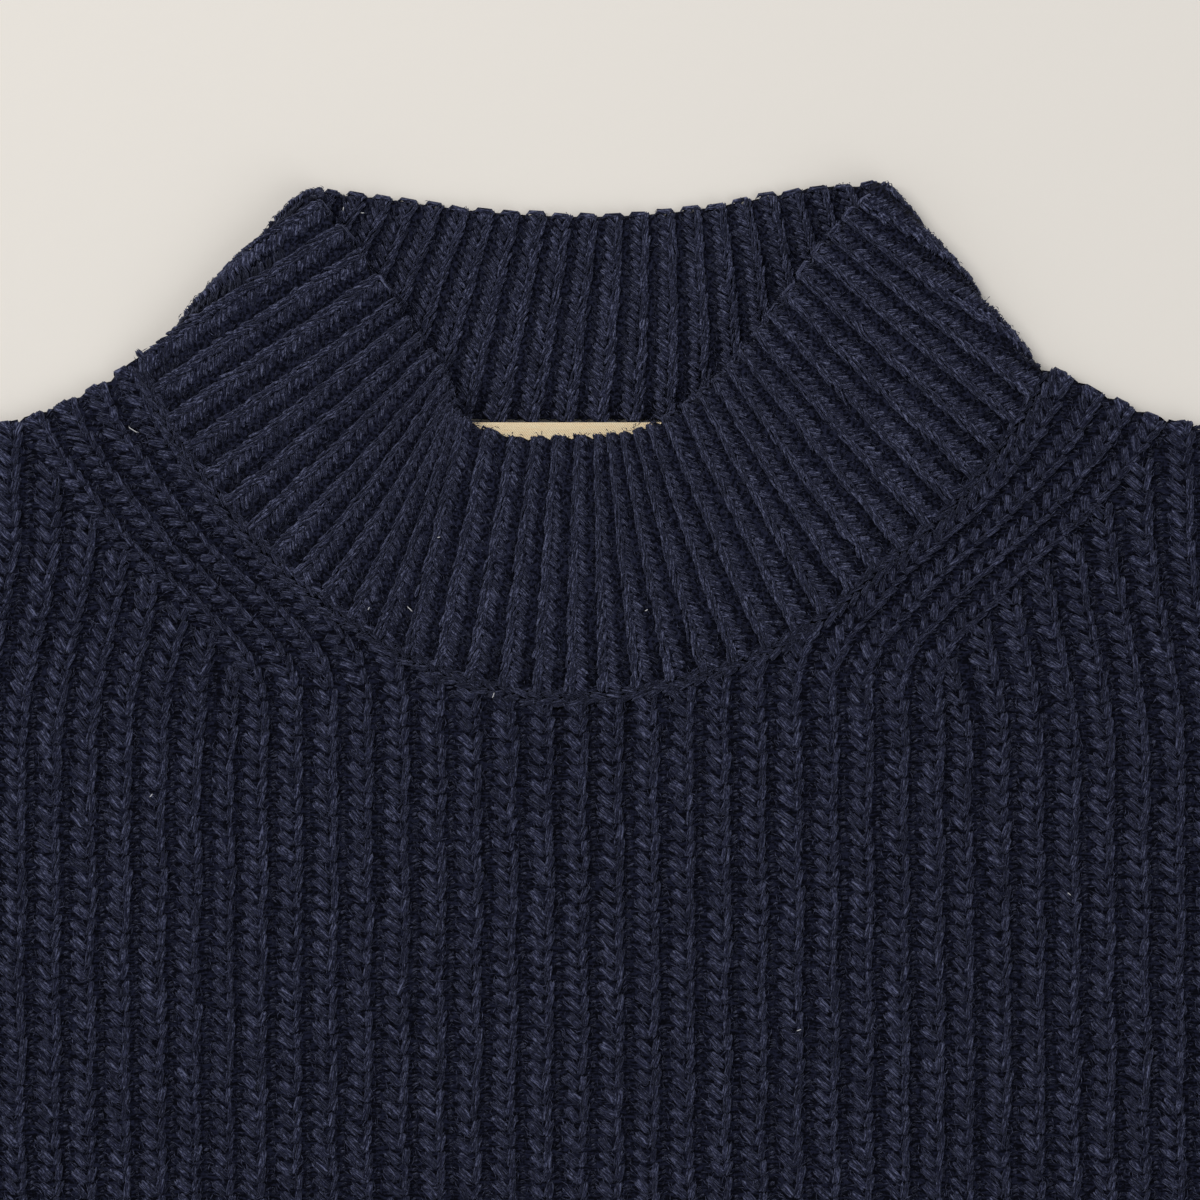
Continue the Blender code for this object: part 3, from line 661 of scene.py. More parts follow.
class Graph:
    """A material's node tree with one surface shader."""

    def __init__(self, name: str) -> None:
        """Makes the material with its Principled shader.

        Args:
            name: The material's name.
        """
        self.material = bpy.data.materials.new(name)
        self.material.use_nodes = True
        self.tree = self.material.node_tree
        self.surface = self.tree.nodes["Principled BSDF"]

    def node(self, kind: str, settings: dict[str, object], inputs: dict[object, object]) -> dict[str, Value]:
        """Adds a node.

        Args:
            kind: The node's type.
            settings: Its settings, such as a Math node's operation.
            inputs: Values or links of its sockets, by name or number.

        Returns:
            Its outputs by name.
        """
        made = self.tree.nodes.new(kind)
        for key, value in settings.items():
            setattr(made, key, value)
        for key, value in inputs.items():
            self.feed(made.inputs[key], value)
        return {socket.name: Value(self, socket) for socket in made.outputs if socket.enabled}

    def feed(self, socket: bpy.types.NodeSocket, value: object) -> None:
        """Links a value to a socket, or sets the socket to a number or colour.

        Args:
            socket: The input.
            value: A Value, a number, or a colour of three parts.
        """
        if isinstance(value, Value):
            self.tree.links.new(value.socket, socket)
        elif isinstance(value, tuple) and len(value) == 3 and socket.type == "RGBA":
            socket.default_value = (*value, 1.0)
        else:
            socket.default_value = value

    def dress(self, **sockets: object) -> bpy.types.Material:
        """Feeds the surface shader's sockets.

        Args:
            **sockets: Values by the socket's name, with _ for a space.

        Returns:
            The finished material.
        """
        for key, value in sockets.items():
            self.feed(self.surface.inputs[key.replace("_", " ")], value)
        return self.material

    def mix(self, share: Value | float, low: object, high: object) -> Value:
        """A colour between two others."""
        made = self.node("ShaderNodeMix", {"data_type": "RGBA"}, {0: share, 6: low, 7: high})
        return made["Result"]

    def place(self, x: object, y: object, z: object) -> Value:
        """A vector of three values."""
        return self.node("ShaderNodeCombineXYZ", {}, {0: x, 1: y, 2: z})["Vector"]

    def noise(self, where: Value, scale: float, detail: float = 2.0) -> Value:
        """Noise between about 0.3 and 0.7.

        Args:
            where: The place.
            scale: How many lumps there are to one unit.
            detail: How many finer layers are added.

        Returns:
            The noise at that place.
        """
        inputs = {"Vector": where, "Scale": scale, "Detail": detail}
        outputs = self.node("ShaderNodeTexNoise", {"noise_dimensions": "3D"}, inputs)
        return outputs.get("Fac") or outputs["Factor"]

    def axes(self, where: Value) -> tuple[Value, Value, Value]:
        """The three parts of a vector."""
        parts = self.node("ShaderNodeSeparateXYZ", {}, {0: where})
        return parts["X"], parts["Y"], parts["Z"]

    def object_place(self) -> Value:
        """The place on the object."""
        return self.node("ShaderNodeTexCoord", {}, {})["Object"]

    def attribute(self, name: str) -> Value:
        """A named value of the mesh's points."""
        return self.node("ShaderNodeAttribute", {"attribute_name": name}, {})["Fac"]

    def bump(self, height: Value, distance: float) -> Value:
        """A normal from a height."""
        inputs = {"Height": height, "Distance": distance, "Strength": 1.0}
        return self.node("ShaderNodeBump", {}, inputs)["Normal"]


@dataclass(frozen=True)
class YarnFinish:
    """Soft woollen plies, seen along their fibres, with painted shade where they dive into the cloth.

    Fibres are the fine streaks along a ply and tufts the broader ones. Each has its scale round the ply,
    along it, and in the ply's own random tone. to_body and to_lit are how strongly the fibres, the tufts and
    the tone turn the colour, and the share that it starts from.
    """

    name: str
    # Painted shade colour, mixed in where a strand sinks low in the cloth.
    painted_shade: Colour
    deep: Colour
    body: Colour
    lit: Colour
    fibres: tuple[float, float, float] = (6.5, 3.2, 91.0)
    tufts: tuple[float, float, float] = (2.0, 8.0, 37.0)
    to_body: tuple[float, float, float, float] = (7.5, 3.0, 1.0, 0.45)
    to_lit: tuple[float, float, float, float] = (9.0, 3.0, 1.4, 0.0)
    lit_from: tuple[float, float] = (0.54, 0.7)
    tuft_relief: float = 0.6
    relief: float = 0.0005
    sheen_tint: Colour = (0.50, 0.55, 0.85)

    def material(self) -> bpy.types.Material:
        """Makes the yarn's material, which reads each strand's UV map, tone and painted shade.

        Returns:
            The material.
        """
        graph = Graph(self.name)
        around, along, _ = graph.axes(graph.node("ShaderNodeUVMap", {"uv_map": "yarn"}, {})["UV"])
        tone = graph.attribute("tone")
        fibres, tufts = (
            graph.noise(graph.place(around * scales[0], along * scales[1], tone * scales[2]), 1.0)
            for scales in (self.fibres, self.tufts)
        )
        by_fibre, by_tuft, by_tone, start = self.to_body
        streaks = (fibres - 0.5) * by_fibre + (tufts - 0.5) * by_tuft
        light = (streaks + (tone - 0.5) * by_tone + start).clamped()
        by_fibre, by_tuft, by_tone, start = self.to_lit
        streaks = (fibres - self.lit_from[0]) * by_fibre + (tufts - 0.5) * by_tuft
        bright = (streaks + (tone - self.lit_from[1]) * by_tone + start).clamped()
        colour = graph.mix(bright, graph.mix(light, self.deep, self.body), self.lit)
        return graph.dress(
            # Painted shade: the strands' height share mixes in a near-black colour where the plies sink into
            # the cloth.
            Base_Color=graph.mix(graph.attribute("shade_by_height"), self.painted_shade, colour),
            Roughness=0.92,
            Specular_IOR_Level=0.18,
            Sheen_Weight=0.2,
            Sheen_Roughness=0.5,
            Sheen_Tint=self.sheen_tint,
            Normal=graph.bump(fibres + tufts * self.tuft_relief, self.relief),
        )


@dataclass(frozen=True)
class GroundFinish:
    """The inside of the knit that shows between its loops, painted dark for the shade between them, with
    wisps of yarn across it.

    wisps and fibres are how many there are to a metre, the wisps along X, Y and Z. to_body is how strongly
    the wisps and the fibres turn the colour, and the share that it starts from.
    """

    name: str
    deep: Colour
    body: Colour
    wisps: tuple[float, float, float] = (330.0, 1300.0, 300.0)
    fibres: float = 1500.0
    to_body: tuple[float, float, float] = (5.0, 3.0, 0.35)
    fibre_relief: float = 0.5
    relief: float = 0.0006

    def material(self) -> bpy.types.Material:
        """Makes the material from object coordinates.

        Returns:
            The material.
        """
        graph = Graph(self.name)
        where = graph.object_place()
        scaled = [part * scale for part, scale in zip(graph.axes(where), self.wisps)]
        wisps = graph.noise(graph.place(*scaled), 1.0, 3.0)
        fibres = graph.noise(where, self.fibres, 3.0)
        by_wisp, by_fibre, start = self.to_body
        share = ((wisps - 0.5) * by_wisp + (fibres - 0.5) * by_fibre + start).clamped()
        return graph.dress(
            # Painted shade: the ground's colours are far darker than the yarn's, for the shade between the
            # loops.
            Base_Color=graph.mix(share, self.deep, self.body),
            Roughness=0.97,
            Specular_IOR_Level=0.1,
            Normal=graph.bump(wisps + fibres * self.fibre_relief, self.relief),
        )


@dataclass(frozen=True)
class KnitFinish:
    """A whole ribbed knit in one surface, for the back and for the sides of the bands.

    rib and row are the pitches in millimetres, and slant is how far a stitch climbs from the rib's middle to
    its side, in rows. to_body is how strongly the form, as painted shade in its low parts, and the fibres
    turn the colour, and what is taken off.
    """

    name: str
    deep: Colour
    body: Colour
    rib: float = 10.35
    row: float = 4.6
    slant: float = 1.6
    row_relief: float = 0.45
    fibres: float = 900.0
    to_body: tuple[float, float, float] = (0.9, 2.0, 0.05)
    fibre_relief: float = 0.25
    relief: float = 0.0016

    def material(self) -> bpy.types.Material:
        """Makes the ribs and rows of stitches from object coordinates.

        Returns:
            The material.
        """
        graph = Graph(self.name)
        where = graph.object_place()
        x, y, _ = graph.axes(where)
        across = (x * (1 / (self.rib * MM))).fraction()
        lean = (across - 0.5).size()
        rib = (lean * (2 * math.pi)).cosine() * 0.5 + 0.5
        rows = ((y * (1 / (self.row * MM)) + lean * self.slant) * (2 * math.pi)).sine() * 0.5 + 0.5
        fibres = graph.noise(where, self.fibres, 3.0)
        height = rib * (rows * self.row_relief + (1 - self.row_relief))
        shade_by_form, by_fibre, less = self.to_body
        # Painted shade: the knit is darker where the form of its ribs and rows is low.
        share = (height * shade_by_form + (fibres - 0.5) * by_fibre - less).clamped()
        return graph.dress(
            Base_Color=graph.mix(share, self.deep, self.body),
            Roughness=0.95,
            Specular_IOR_Level=0.15,
            Sheen_Weight=0.2,
            Normal=graph.bump(height + fibres * self.fibre_relief, self.relief),
        )


@dataclass(frozen=True)
class LintFinish:
    """Pale stray fibres."""

    name: str
    colour: Colour

    def material(self) -> bpy.types.Material:
        """Makes the plain material."""
        return Graph(self.name).dress(Base_Color=self.colour, Roughness=0.9, Specular_IOR_Level=0.2)


@dataclass(frozen=True)
class TapeFinish:
    """Plain woven cotton tape.

    warp and weft are threads to a metre, and slubs the thick places in them to a metre, along X and Y.
    to_light is how strongly the weave and the slubs turn the colour.
    """

    name: str
    light: Colour
    shade: Colour
    warp: float = 1900.0
    weft: float = 1140.0
    slubs: tuple[float, float] = (220.0, 1500.0)
    to_light: tuple[float, float] = (0.7, 1.2)
    slub_relief: float = 0.5
    relief: float = 0.0002

    def material(self) -> bpy.types.Material:
        """Makes the tape's material from object coordinates.

        Returns:
            The material.
        """
        graph = Graph(self.name)
        x, y, _ = graph.axes(graph.object_place())
        weave = (x * (2 * math.pi * self.warp)).sine() * (y * (2 * math.pi * self.weft)).sine() * 0.5 + 0.5
        slubs = graph.noise(graph.place(x * self.slubs[0], y * self.slubs[1], 0.0), 1.0)
        share = (weave * self.to_light[0] + (slubs - 0.5) * self.to_light[1]).clamped()
        return graph.dress(
            Base_Color=graph.mix(share, self.shade, self.light),
            Roughness=0.88,
            Sheen_Weight=0.15,
            Normal=graph.bump(weave + slubs * self.slub_relief, self.relief),
        )


BODY_YARN = YarnFinish(
    "body_yarn",
    # Painted shade: the colour of the yarn where it sinks into the cloth.
    painted_shade=(0.0012, 0.0017, 0.0060),
    deep=(0.0028, 0.0038, 0.0140),
    body=(0.0265, 0.0298, 0.0690),
    lit=(0.1300, 0.1420, 0.2400),
)
COLLAR_YARN = YarnFinish(
    "collar_yarn",
    # Painted shade: the colour of the yarn where it sinks into the cloth.
    painted_shade=(0.0012, 0.0017, 0.0060),
    deep=(0.0028, 0.0038, 0.0130),
    body=(0.0275, 0.0305, 0.0680),
    lit=(0.1300, 0.1420, 0.2360),
)
# Painted shade: the ground colours are darkened to stand for the shade between the loops.
BODY_GROUND = GroundFinish("body_ground", (0.0008, 0.0010, 0.0034), (0.0105, 0.0122, 0.0275))
COLLAR_GROUND = GroundFinish(
    "collar_ground", (0.0010, 0.0013, 0.0045), (0.0145, 0.0165, 0.0350), (900.0, 900.0, 300.0)
)
# Painted shade: the plain knit's colour darkens in the low parts of its rib form.
KNIT = KnitFinish("knit_plain", (0.0016, 0.0022, 0.0075), (0.0300, 0.0335, 0.0700))
TAPE = TapeFinish("label_tape", (1.0, 0.93, 0.67), (0.95, 0.71, 0.43))
LINT = LintFinish("lint", (0.62, 0.62, 0.64))


def cloth_from(
    node: str,
    name: str,
    shape: Callable[[Array, Array], Array],
    material: bpy.types.Material,
) -> bpy.types.Object:
    """A cloth shell from a solid's own form.

    Args:
        node: The solid's name.
        name: The new piece's name.
        shape: Moves the points, given them and their directions out of the solid, in metres.
        material: The shell's material.

    Returns:
        The new piece, which replaces the solid.
    """
    mesh = frame["nodes"][node].data.copy()
    mesh.name = name
    work = bmesh.new()
    work.from_mesh(mesh)
    bmesh.ops.remove_doubles(work, verts=work.verts, dist=1e-6)
    work.normal_update()
    work.verts.ensure_lookup_table()
    points = np.array([vertex.co for vertex in work.verts])
    normals = np.array([vertex.normal for vertex in work.verts])
    for vertex, place in zip(work.verts, shape(points, normals)):
        vertex.co = place
    work.to_mesh(mesh)
    work.free()
    mesh.materials.clear()
    mesh.materials.append(material)
    mesh.shade_smooth()
    piece = bpy.data.objects.new(name, mesh)
    bpy.context.scene.collection.objects.link(piece)
    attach(piece, "root")
    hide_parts(node)
    return piece


def finish_piece(piece: bpy.types.Object) -> None:
    """Makes an added piece ride on the vest, and reports it.

    Args:
        piece: The new piece.
    """
    if piece.parent is None:
        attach(piece, "root")
    log.info("%s: %d faces", piece.name, len(piece.data.polygons))


@dataclass
class FrontPanel:
    """The chunky ribbed front: a ground painted dark as shade, with every loop of its ribs on it.

    squash flattens the ground's ribs. roll is the radius on which ribs turn over an open edge, at the angles
    roll_turns. shown is how far out and how far down the photo shows the front. tones are the heights of a
    loop at which its painted shade is darkest and at which it is gone. under_band is how far a rib runs under
    the band that ends it.
    """

    row_pitch: float = 4.6
    row_step: float = 0.5
    seam_stop: float = 2.8
    squash: float = 0.55
    uneven_rib: float = 0.45
    roll: float = 3.4
    edge_stop: float = 2.1
    edge_fill: float = 0.9
    roll_turns: tuple[float, ...] = (34.0, 84.0)
    side_inset: float = 7.3
    side_height: float = 4.4
    side_width: float = 8.4
    side_bend: float = 0.16
    shown: tuple[float, float] = (186.0, -158.0)
    legs: tuple[Leg, ...] = (
        Leg((0.13, -0.48, 6.7), (-0.31, 0.47, 5.9), arch=2.05, radius=0.62, plies=4, spread=1.28, bow=-0.3),
        Leg((0.15, -0.60, 6.7), (0.27, 0.66, 6.3), arch=1.35, radius=0.60, plies=3, spread=0.95, bow=0.25),
        Leg((0.34, -0.20, 5.3), (0.72, 0.12, 5.3), arch=0.9, radius=0.52, plies=3, spread=1.7, rings=1),
    )
    hairs: Fluff = Fluff(16, 8.5, 2.9, (1.6, 3.8), 0.19, (132.0, 76.0))
    plain_legs: tuple[Leg, ...] = (
        Leg((0.13, -0.48, 6.7), (-0.31, 0.47, 5.9), arch=2.05, radius=0.92, spread=1.10, bow=-0.3),
        Leg((0.15, -0.60, 6.7), (0.27, 0.66, 6.3), arch=1.35, radius=0.74, spread=0.80, bow=0.25),
        Leg((0.34, -0.20, 5.3), (0.72, 0.12, 5.3), arch=0.9, radius=0.62, spread=1.3, rings=1),
    )
    head: Leg = Leg((-0.36, 0.0, 4.4), (0.36, 0.0, 4.4), arch=4.3, radius=0.72, plies=3, spread=1.5)
    seed: int = 100
    # Heights in a loop's frame where the painted shade is darkest and where it is gone.
    tones: tuple[float, float] = (4.7, 7.9)
    thinnest: float = 0.72
    highest: float = 100.0
    under_band: float = 1.5
    sight: float = 1.5
    steepest: float = 0.3
    roll_bend: float = 0.8
    drift_seed: int = 11
    drift_across: float = 0.3
    drift_wave: float = 60.0
    side_start: float = 0.6
    side_sight: float = 2.0
    shown_rows: Rows | None = None

    def rib_end(self, wale: float) -> tuple[float, bool]:
        """How high a rib runs, and whether it ends at the neck seam or under the band.

        Args:
            wale: The rib's crest.

        Returns:
            The height, and True for either of those ends.
        """
        heights = np.arange(CUT.hem_y + 1.0, self.highest, self.row_step)
        places = np.column_stack([CUT.wale_x(wale, heights), heights])
        free = inside(OUTLINE, places)
        covered = np.zeros(len(heights), bool)
        if abs(wale) > CUT.band_end:
            guide = np.abs(CUT.wale_x(math.copysign(CUT.band_end, wale), heights))
            covered = np.abs(places[:, 0]) < guide - self.under_band
        gone = ~(free & ~covered)
        stop = int(np.argmax(gone)) if gone.any() else len(heights) - 1
        at_seam = abs(wale) < CUT.band_start
        return float(heights[stop]), bool(covered[stop]) or at_seam

    def rib_rows(self, wale: float) -> Rows:
        """The loops of one rib, evenly spaced along it and rolled over its open ends.

        Args:
            wale: The rib's crest.

        Returns:
            Its loops.
        """
        top, plain_end = self.rib_end(wale)
        heights = np.arange(CUT.hem_y, top + 0.01, self.row_step)
        line = np.column_stack([CUT.wale_x(wale, heights), heights])
        stop = self.edge_stop if not plain_end else self.seam_stop if abs(wale) < CUT.band_end else 0.0
        length = lengths_along(line)[-1] - self.roll - stop
        count = round(length / self.row_pitch)
        over = np.radians(self.roll_turns)
        places = self.roll + np.concatenate([0 * over, (np.arange(count) + 0.5) * length / count])
        turns = np.concatenate([-over[::-1], np.zeros(count)])
        if not plain_end:
            places = np.concatenate([places, self.roll + length + 0 * over])
            turns = np.concatenate([turns, over])
        flat = points_at(line, places)
        ahead = unit(points_at(line, places + self.sight) - points_at(line, places - self.sight))
        width = np.abs(CUT.wale_x(wale + 0.5, flat[:, 1]) - CUT.wale_x(wale - 0.5, flat[:, 1]))
        width = width * np.clip(ahead[:, 1], self.steepest, 1.0)
        across = np.column_stack([ahead[:, 1], -ahead[:, 0], 0 * places])
        squeezed = np.column_stack([flat[:, 0] * self.drift_across, flat[:, 1]])
        drift = wander(squeezed, self.drift_seed, self.drift_wave)
        sunk = flat - ahead * (CUT.front_base * np.sin(turns))[:, None]
        centre = np.column_stack([sunk, CUT.front_base * (1 - np.cos(turns))])
        centre += across * (self.uneven_rib * drift)[:, None]
        along = np.column_stack([ahead * np.cos(turns)[:, None], -np.sin(turns)])
        bend = np.column_stack([0 * places, np.where(turns == 0.0, 0.0, self.roll_bend / self.roll)])
        return Rows(centre, across, along, width, np.full(len(places), self.row_pitch), bend)

    def side_rows(self, side: float) -> Rows:
        """The loops of the rib that turns round the side seam.

        Args:
            side: -1 for the left, 1 for the right.

        Returns:
            Its loops.
        """
        line = CUT.side_line(side)[::-1]
        places = np.arange(self.row_pitch * self.side_start, lengths_along(line)[-1] - 1.0, self.row_pitch)
        flat = points_at(line, places)
        ahead = unit(points_at(line, places + self.side_sight) - points_at(line, places - self.side_sight))
        out = np.column_stack([ahead[:, 1], -ahead[:, 0]]) * side
        count = len(places)
        along = np.column_stack([ahead * side, np.zeros(count)])
        up = np.column_stack([out, np.zeros(count)])
        centre = np.column_stack([flat - out * self.side_inset, np.full(count, self.side_height)])
        bend = np.column_stack([np.full(count, self.side_bend), np.zeros(count)])
        pitch = np.full(count, self.row_pitch)
        return Rows(centre, np.cross(along, up), along, np.full(count, self.side_width), pitch, bend)

    def build(self, yarn: bpy.types.Material, ground: bpy.types.Material) -> None:
        """Makes the ground and the loops in four pieces.

        Args:
            yarn: The loops' material.
            ground: The material between them.
        """

        def squash(points: Array, normals: Array) -> Array:
            """The solid's form with flatter ribs and filled edges."""
            base = CUT.front_base * MM
            points[:, 2] = base + (points[:, 2] - base) * self.squash
            points[:, :2] += normals[:, :2] * self.edge_fill * MM
            return points

        cloth = cloth_from("front", "front_cloth", squash, ground)
        half = int(CUT.side_wale)
        ribs = [self.rib_rows(wale + 0.5) for wale in range(-half, half)]
        rows = Rows.joined(ribs + [self.side_rows(side) for side in (-1.0, 1.0)])
        x, y = rows.centre[:, 0], rows.centre[:, 1]
        shown = (np.abs(x) < self.shown[0]) & (y > self.shown[1])
        masks = (shown & (x < 0), shown & (x >= 0), ~shown & (x < 0), ~shown & (x >= 0))
        for number, mask in enumerate(masks):
            strands = Yarn(self.seed + number, *self.tones)
            part = rows.keep(mask)
            grow = np.clip(part.width / CUT.pitch, self.thinnest, 1.0)
            for leg in self.legs if number < 2 else self.plain_legs:
                strands.lay(part, leg, grow)
            rolled = part.bend[:, 1] > 0.0
            strands.lay(part.keep(rolled), self.head)
            if number < 2:
                strands.fluff(part.keep(~rolled), self.hairs)
            piece = strands.build(f"front_loops_{number + 1}", yarn)
            finish_piece(piece)
        self.shown_rows = rows.keep(shown)


@dataclass
class BackPanel:
    """The plain back that the vest lies on."""

    def build(self, ground: bpy.types.Material) -> None:
        """Makes the back's cloth.

        Args:
            ground: The whole knit's material.
        """
        cloth = cloth_from("back", "back_cloth", lambda points, normals: points, ground)
        finish_piece(cloth)


@dataclass
class Collar:
    """The doubled rib collar: a flattened tube whose ribs run over its upper edge.

    turns are the numbers of the wales at the seam and at the upper edge where the front wall starts and ends
    and where the back wall starts and ends. A fold is the place of its upper edge, and its reach at the seam
    and there. top_front is the front's upper edge as (wale, x, y), and top_back the back's.
    """

    wales: int = 62
    wall: tuple[float, float] = (3.2, 4.6)
    front_rise: tuple[float, float] = (7.2, 15.0)
    rise_power: float = 0.75
    fold_inset: float = 4.6
    lift: float = 0.4
    turns: tuple[tuple[float, float], ...] = ((0.7, -0.6), (34.5, 36.0), (35.5, 38.9), (61.7, 59.5))
    folds: tuple[tuple[float, ...], ...] = ((-80.0, 141.0, 2.8, 4.2), (77.5, 141.5, 3.9, 6.9))
    fold_steps: tuple[tuple[float, float], ...] = ((2.6, 6.0), (1.0, 6.0))
    fold_bulges: tuple[tuple[float, float], ...] = ((0.0, 0.0), (2.2, -2.2))
    scallop: float = 0.8
    corner_x: float = 62.0
    corner_tops: tuple[float, float] = (145.3, 148.7)
    corner_press: float = 0.65
    top_front: tuple[tuple[float, float, float], ...] = (
        (-0.6, -80.0, 141.0), (1.0, -70.3, 129.4), (3.0, -59.7, 114.7), (5.0, -52.4, 104.7),
        (7.0, -45.4, 95.2), (9.0, -42.0, 88.2), (11.0, -40.4, 82.2), (12.2, -38.6, 79.0),
        (13.0, -33.2, 76.3), (14.5, -22.0, 73.0), (18.0, 0.0, 73.6), (21.0, 11.5, 75.0),
        (23.0, 19.7, 78.2), (25.0, 30.4, 85.4), (28.0, 42.6, 97.1), (31.0, 55.8, 113.4),
        (34.0, 69.1, 131.5), (36.0, 77.5, 141.5),
    )
    top_back: tuple[tuple[float, float], ...] = (
        (-69.0, 145.3), (-54.0, 142.9), (-26.0, 139.7), (0.0, 138.8), (28.0, 140.6),
        (54.0, 145.0), (68.5, 147.4),
    )
    row_pitch: float = 2.45
    ground_inset: float = 0.6
    fold_fill: float = 1.0
    top_fill: float = 0.6
    neck_depth: float = 62.0
    lip: float = 16.0
    legs: tuple[Leg, ...] = (
        Leg((-0.29, -0.8, 0.2), (-0.21, 0.9, 0.2), arch=0.8, radius=0.50, plies=3, spread=1.10),
        Leg((0.24, -0.60, -0.3), (-0.12, 0.54, 0.1), arch=0.75, radius=0.50, plies=3, spread=0.78),
        Leg((0.52, -0.30, -1.3), (0.24, 0.60, -0.9), arch=0.5, radius=0.48, plies=2, spread=0.62),
    )
    head: Leg = Leg((-0.44, 0.0, -0.2), (0.44, 0.0, -0.2), arch=2.0, radius=0.55, plies=3, spread=0.95)
    head_facing: float = 0.55
    head_from: float = 110.0
    section_steps: int = 11
    scallop_from: float = 0.6
    cap_turns: tuple[float, ...] = (60.0, 30.0, 0.0, -30.0, -60.0)
    sight: float = 1.0
    bend_limits: tuple[float, float] = (-0.05, 0.45)
    hidden_facing: float = -0.5
    hidden_height: float = 2.5
    fill_span: tuple[float, float] = (0.3, 1.0)
    split_height: float = 6.0
    full_width: float = 8.0
    grow_limits: tuple[float, float] = (0.7, 1.4)
    # Heights in a loop's frame where the painted shade is darkest and where it is gone.
    tones: tuple[float, float] = (-1.3, 0.5)
    hairs: Fluff = Fluff(5, 1.2, 1.6, (1.3, 3.2), 0.15, (84.0, 125.0))
    shown_rows: Rows | None = None

    def __post_init__(self) -> None:
        """Works out the collar's seam lines and upper edges."""
        seam = CUT.seam_line()
        lengths = lengths_along(seam)
        held = (lengths > self.fold_inset) & (lengths < lengths[-1] - self.fold_inset)
        self.low_front = np.vstack([self.fold_middle(-1.0, 0.0), seam[held], self.fold_middle(1.0, 0.0)])
        ends = (self.fold_middle(-1.0, 0.0), self.fold_middle(1.0, 0.0))
        self.low_back = smooth_points((ends[0], *CUT.back_seam, ends[1]))
        tops = [self.fold_middle(side, 1.0) + self.fold_step(side, 1.0) for side in (-1.0, 1.0)]
        self.high_back = smooth_points((tops[0], *self.top_back, tops[1]))
        self.high_front = np.array(self.top_front)

    def fold_middle(self, side: float, rise: float) -> Array:
        """Where the middle of a side fold is, at a share of the collar's height.

        Args:
            side: -1 for the left, 1 for the right.
            rise: The share of the collar's height, from 0 at the seam to 1.

        Returns:
            Its place in the drawing plane.
        """
        seam = CUT.seam_line()
        total = lengths_along(seam)[-1]
        low = points_at(seam, self.fold_inset if side < 0 else total - self.fold_inset)
        row = self.folds[0 if side < 0 else 1]
        return low + (np.array(row[:2]) - low) * rise

    def fold_step(self, side: float, turn: float) -> Array:
        """How far a fold's upper edge has moved from its front end, at a turn.

        Args:
            side: -1 for the left, 1 for the right.
            turn: 0 in front and 1 behind.

        Returns:
            The move in the drawing plane.
        """
        number = 0 if side < 0 else 1
        step = np.array(self.fold_steps[number]) * (1 - math.cos(math.pi * turn)) / 2
        return step + np.array(self.fold_bulges[number]) * math.sin(math.pi * turn)

    def front_height(self, rise: float) -> float:
        """Height of the front wall's middle."""
        low, high = self.front_rise
        return low + (high - low) * math.sin(math.pi / 2 * rise**self.rise_power)

    def half(self, rise: float) -> float:
        """Half the thickness of the doubled wall."""
        return (self.wall[0] + (self.wall[1] - self.wall[0]) * rise) / 2

    def fold(self, side: float, turn: float, rise: float) -> tuple[Array, Array]:
        """A point round a side fold and its outward direction; turn is 0 in front and 1 behind.

        Args:
            side: -1 for the left, 1 for the right.
            turn: The share of the way round.
            rise: The share of the collar's height, from 0 at the seam to 1.

        Returns:
            The two.
        """
        row = self.folds[0 if side < 0 else 1]
        reach = row[2] + (row[3] - row[2]) * rise
        neck = np.array(CUT.seam[0] if side < 0 else CUT.seam[-1])
        at_seam = unit(neck - self.fold_middle(side, 0.0))
        rise_line = self.fold_middle(side, 1.0) - self.fold_middle(side, 0.0)
        square = unit(np.array((-rise_line[1], rise_line[0])) * -side)
        out = unit(at_seam * (1 - rise) + square * rise)
        bottom = self.half(rise)
        radius = (self.front_height(rise) - bottom) / 2
        angle = math.pi * (0.5 - turn)
        flat = self.fold_middle(side, rise) + self.fold_step(side, turn) * rise
        flat = flat + out * reach * math.cos(angle)
        point = np.array((*flat, bottom + radius + radius * math.sin(angle)))
        return point, unit(np.array((*(out * math.cos(angle) / reach), math.sin(angle) / radius)))

    def middle(self, wale: float, rise: float) -> tuple[Array, Array]:
        """A point in the middle of the wall, and the wall's outward direction there.

        Args:
            wale: A wale of the collar.
            rise: The share of the collar's height, from 0 at the seam to 1.

        Returns:
            The two.
        """
        turns = [low + (high - low) * rise for low, high in self.turns]
        place = turns[0] + (wale - turns[0]) % self.wales
        if place < turns[1]:
            share = (place - turns[0]) / (turns[1] - turns[0])
            low = points_at(self.low_front, share * lengths_along(self.low_front)[-1])
            numbers = self.high_front[:, 0]
            number = numbers[0] + share * (numbers[-1] - numbers[0])
            high = np.array([np.interp(number, numbers, self.high_front[:, axis]) for axis in (1, 2)])
            flat = low + (high - low) * rise
            return np.array((*flat, self.front_height(rise))), np.array(FLAT_Z)
        if place < turns[2]:
            return self.fold(1.0, (place - turns[1]) / (turns[2] - turns[1]), rise)
        if place < turns[3]:
            share = 1 - (place - turns[2]) / (turns[3] - turns[2])
            low = points_at(self.low_back, share * lengths_along(self.low_back)[-1])
            high = points_at(self.high_back, share * lengths_along(self.high_back)[-1])
            return np.array((*(low + (high - low) * rise), self.half(rise))), np.array((0.0, 0.0, -1.0))
        turn = (place - turns[3]) / (turns[0] + self.wales - turns[3])
        return self.fold(-1.0, 1 - turn, rise)

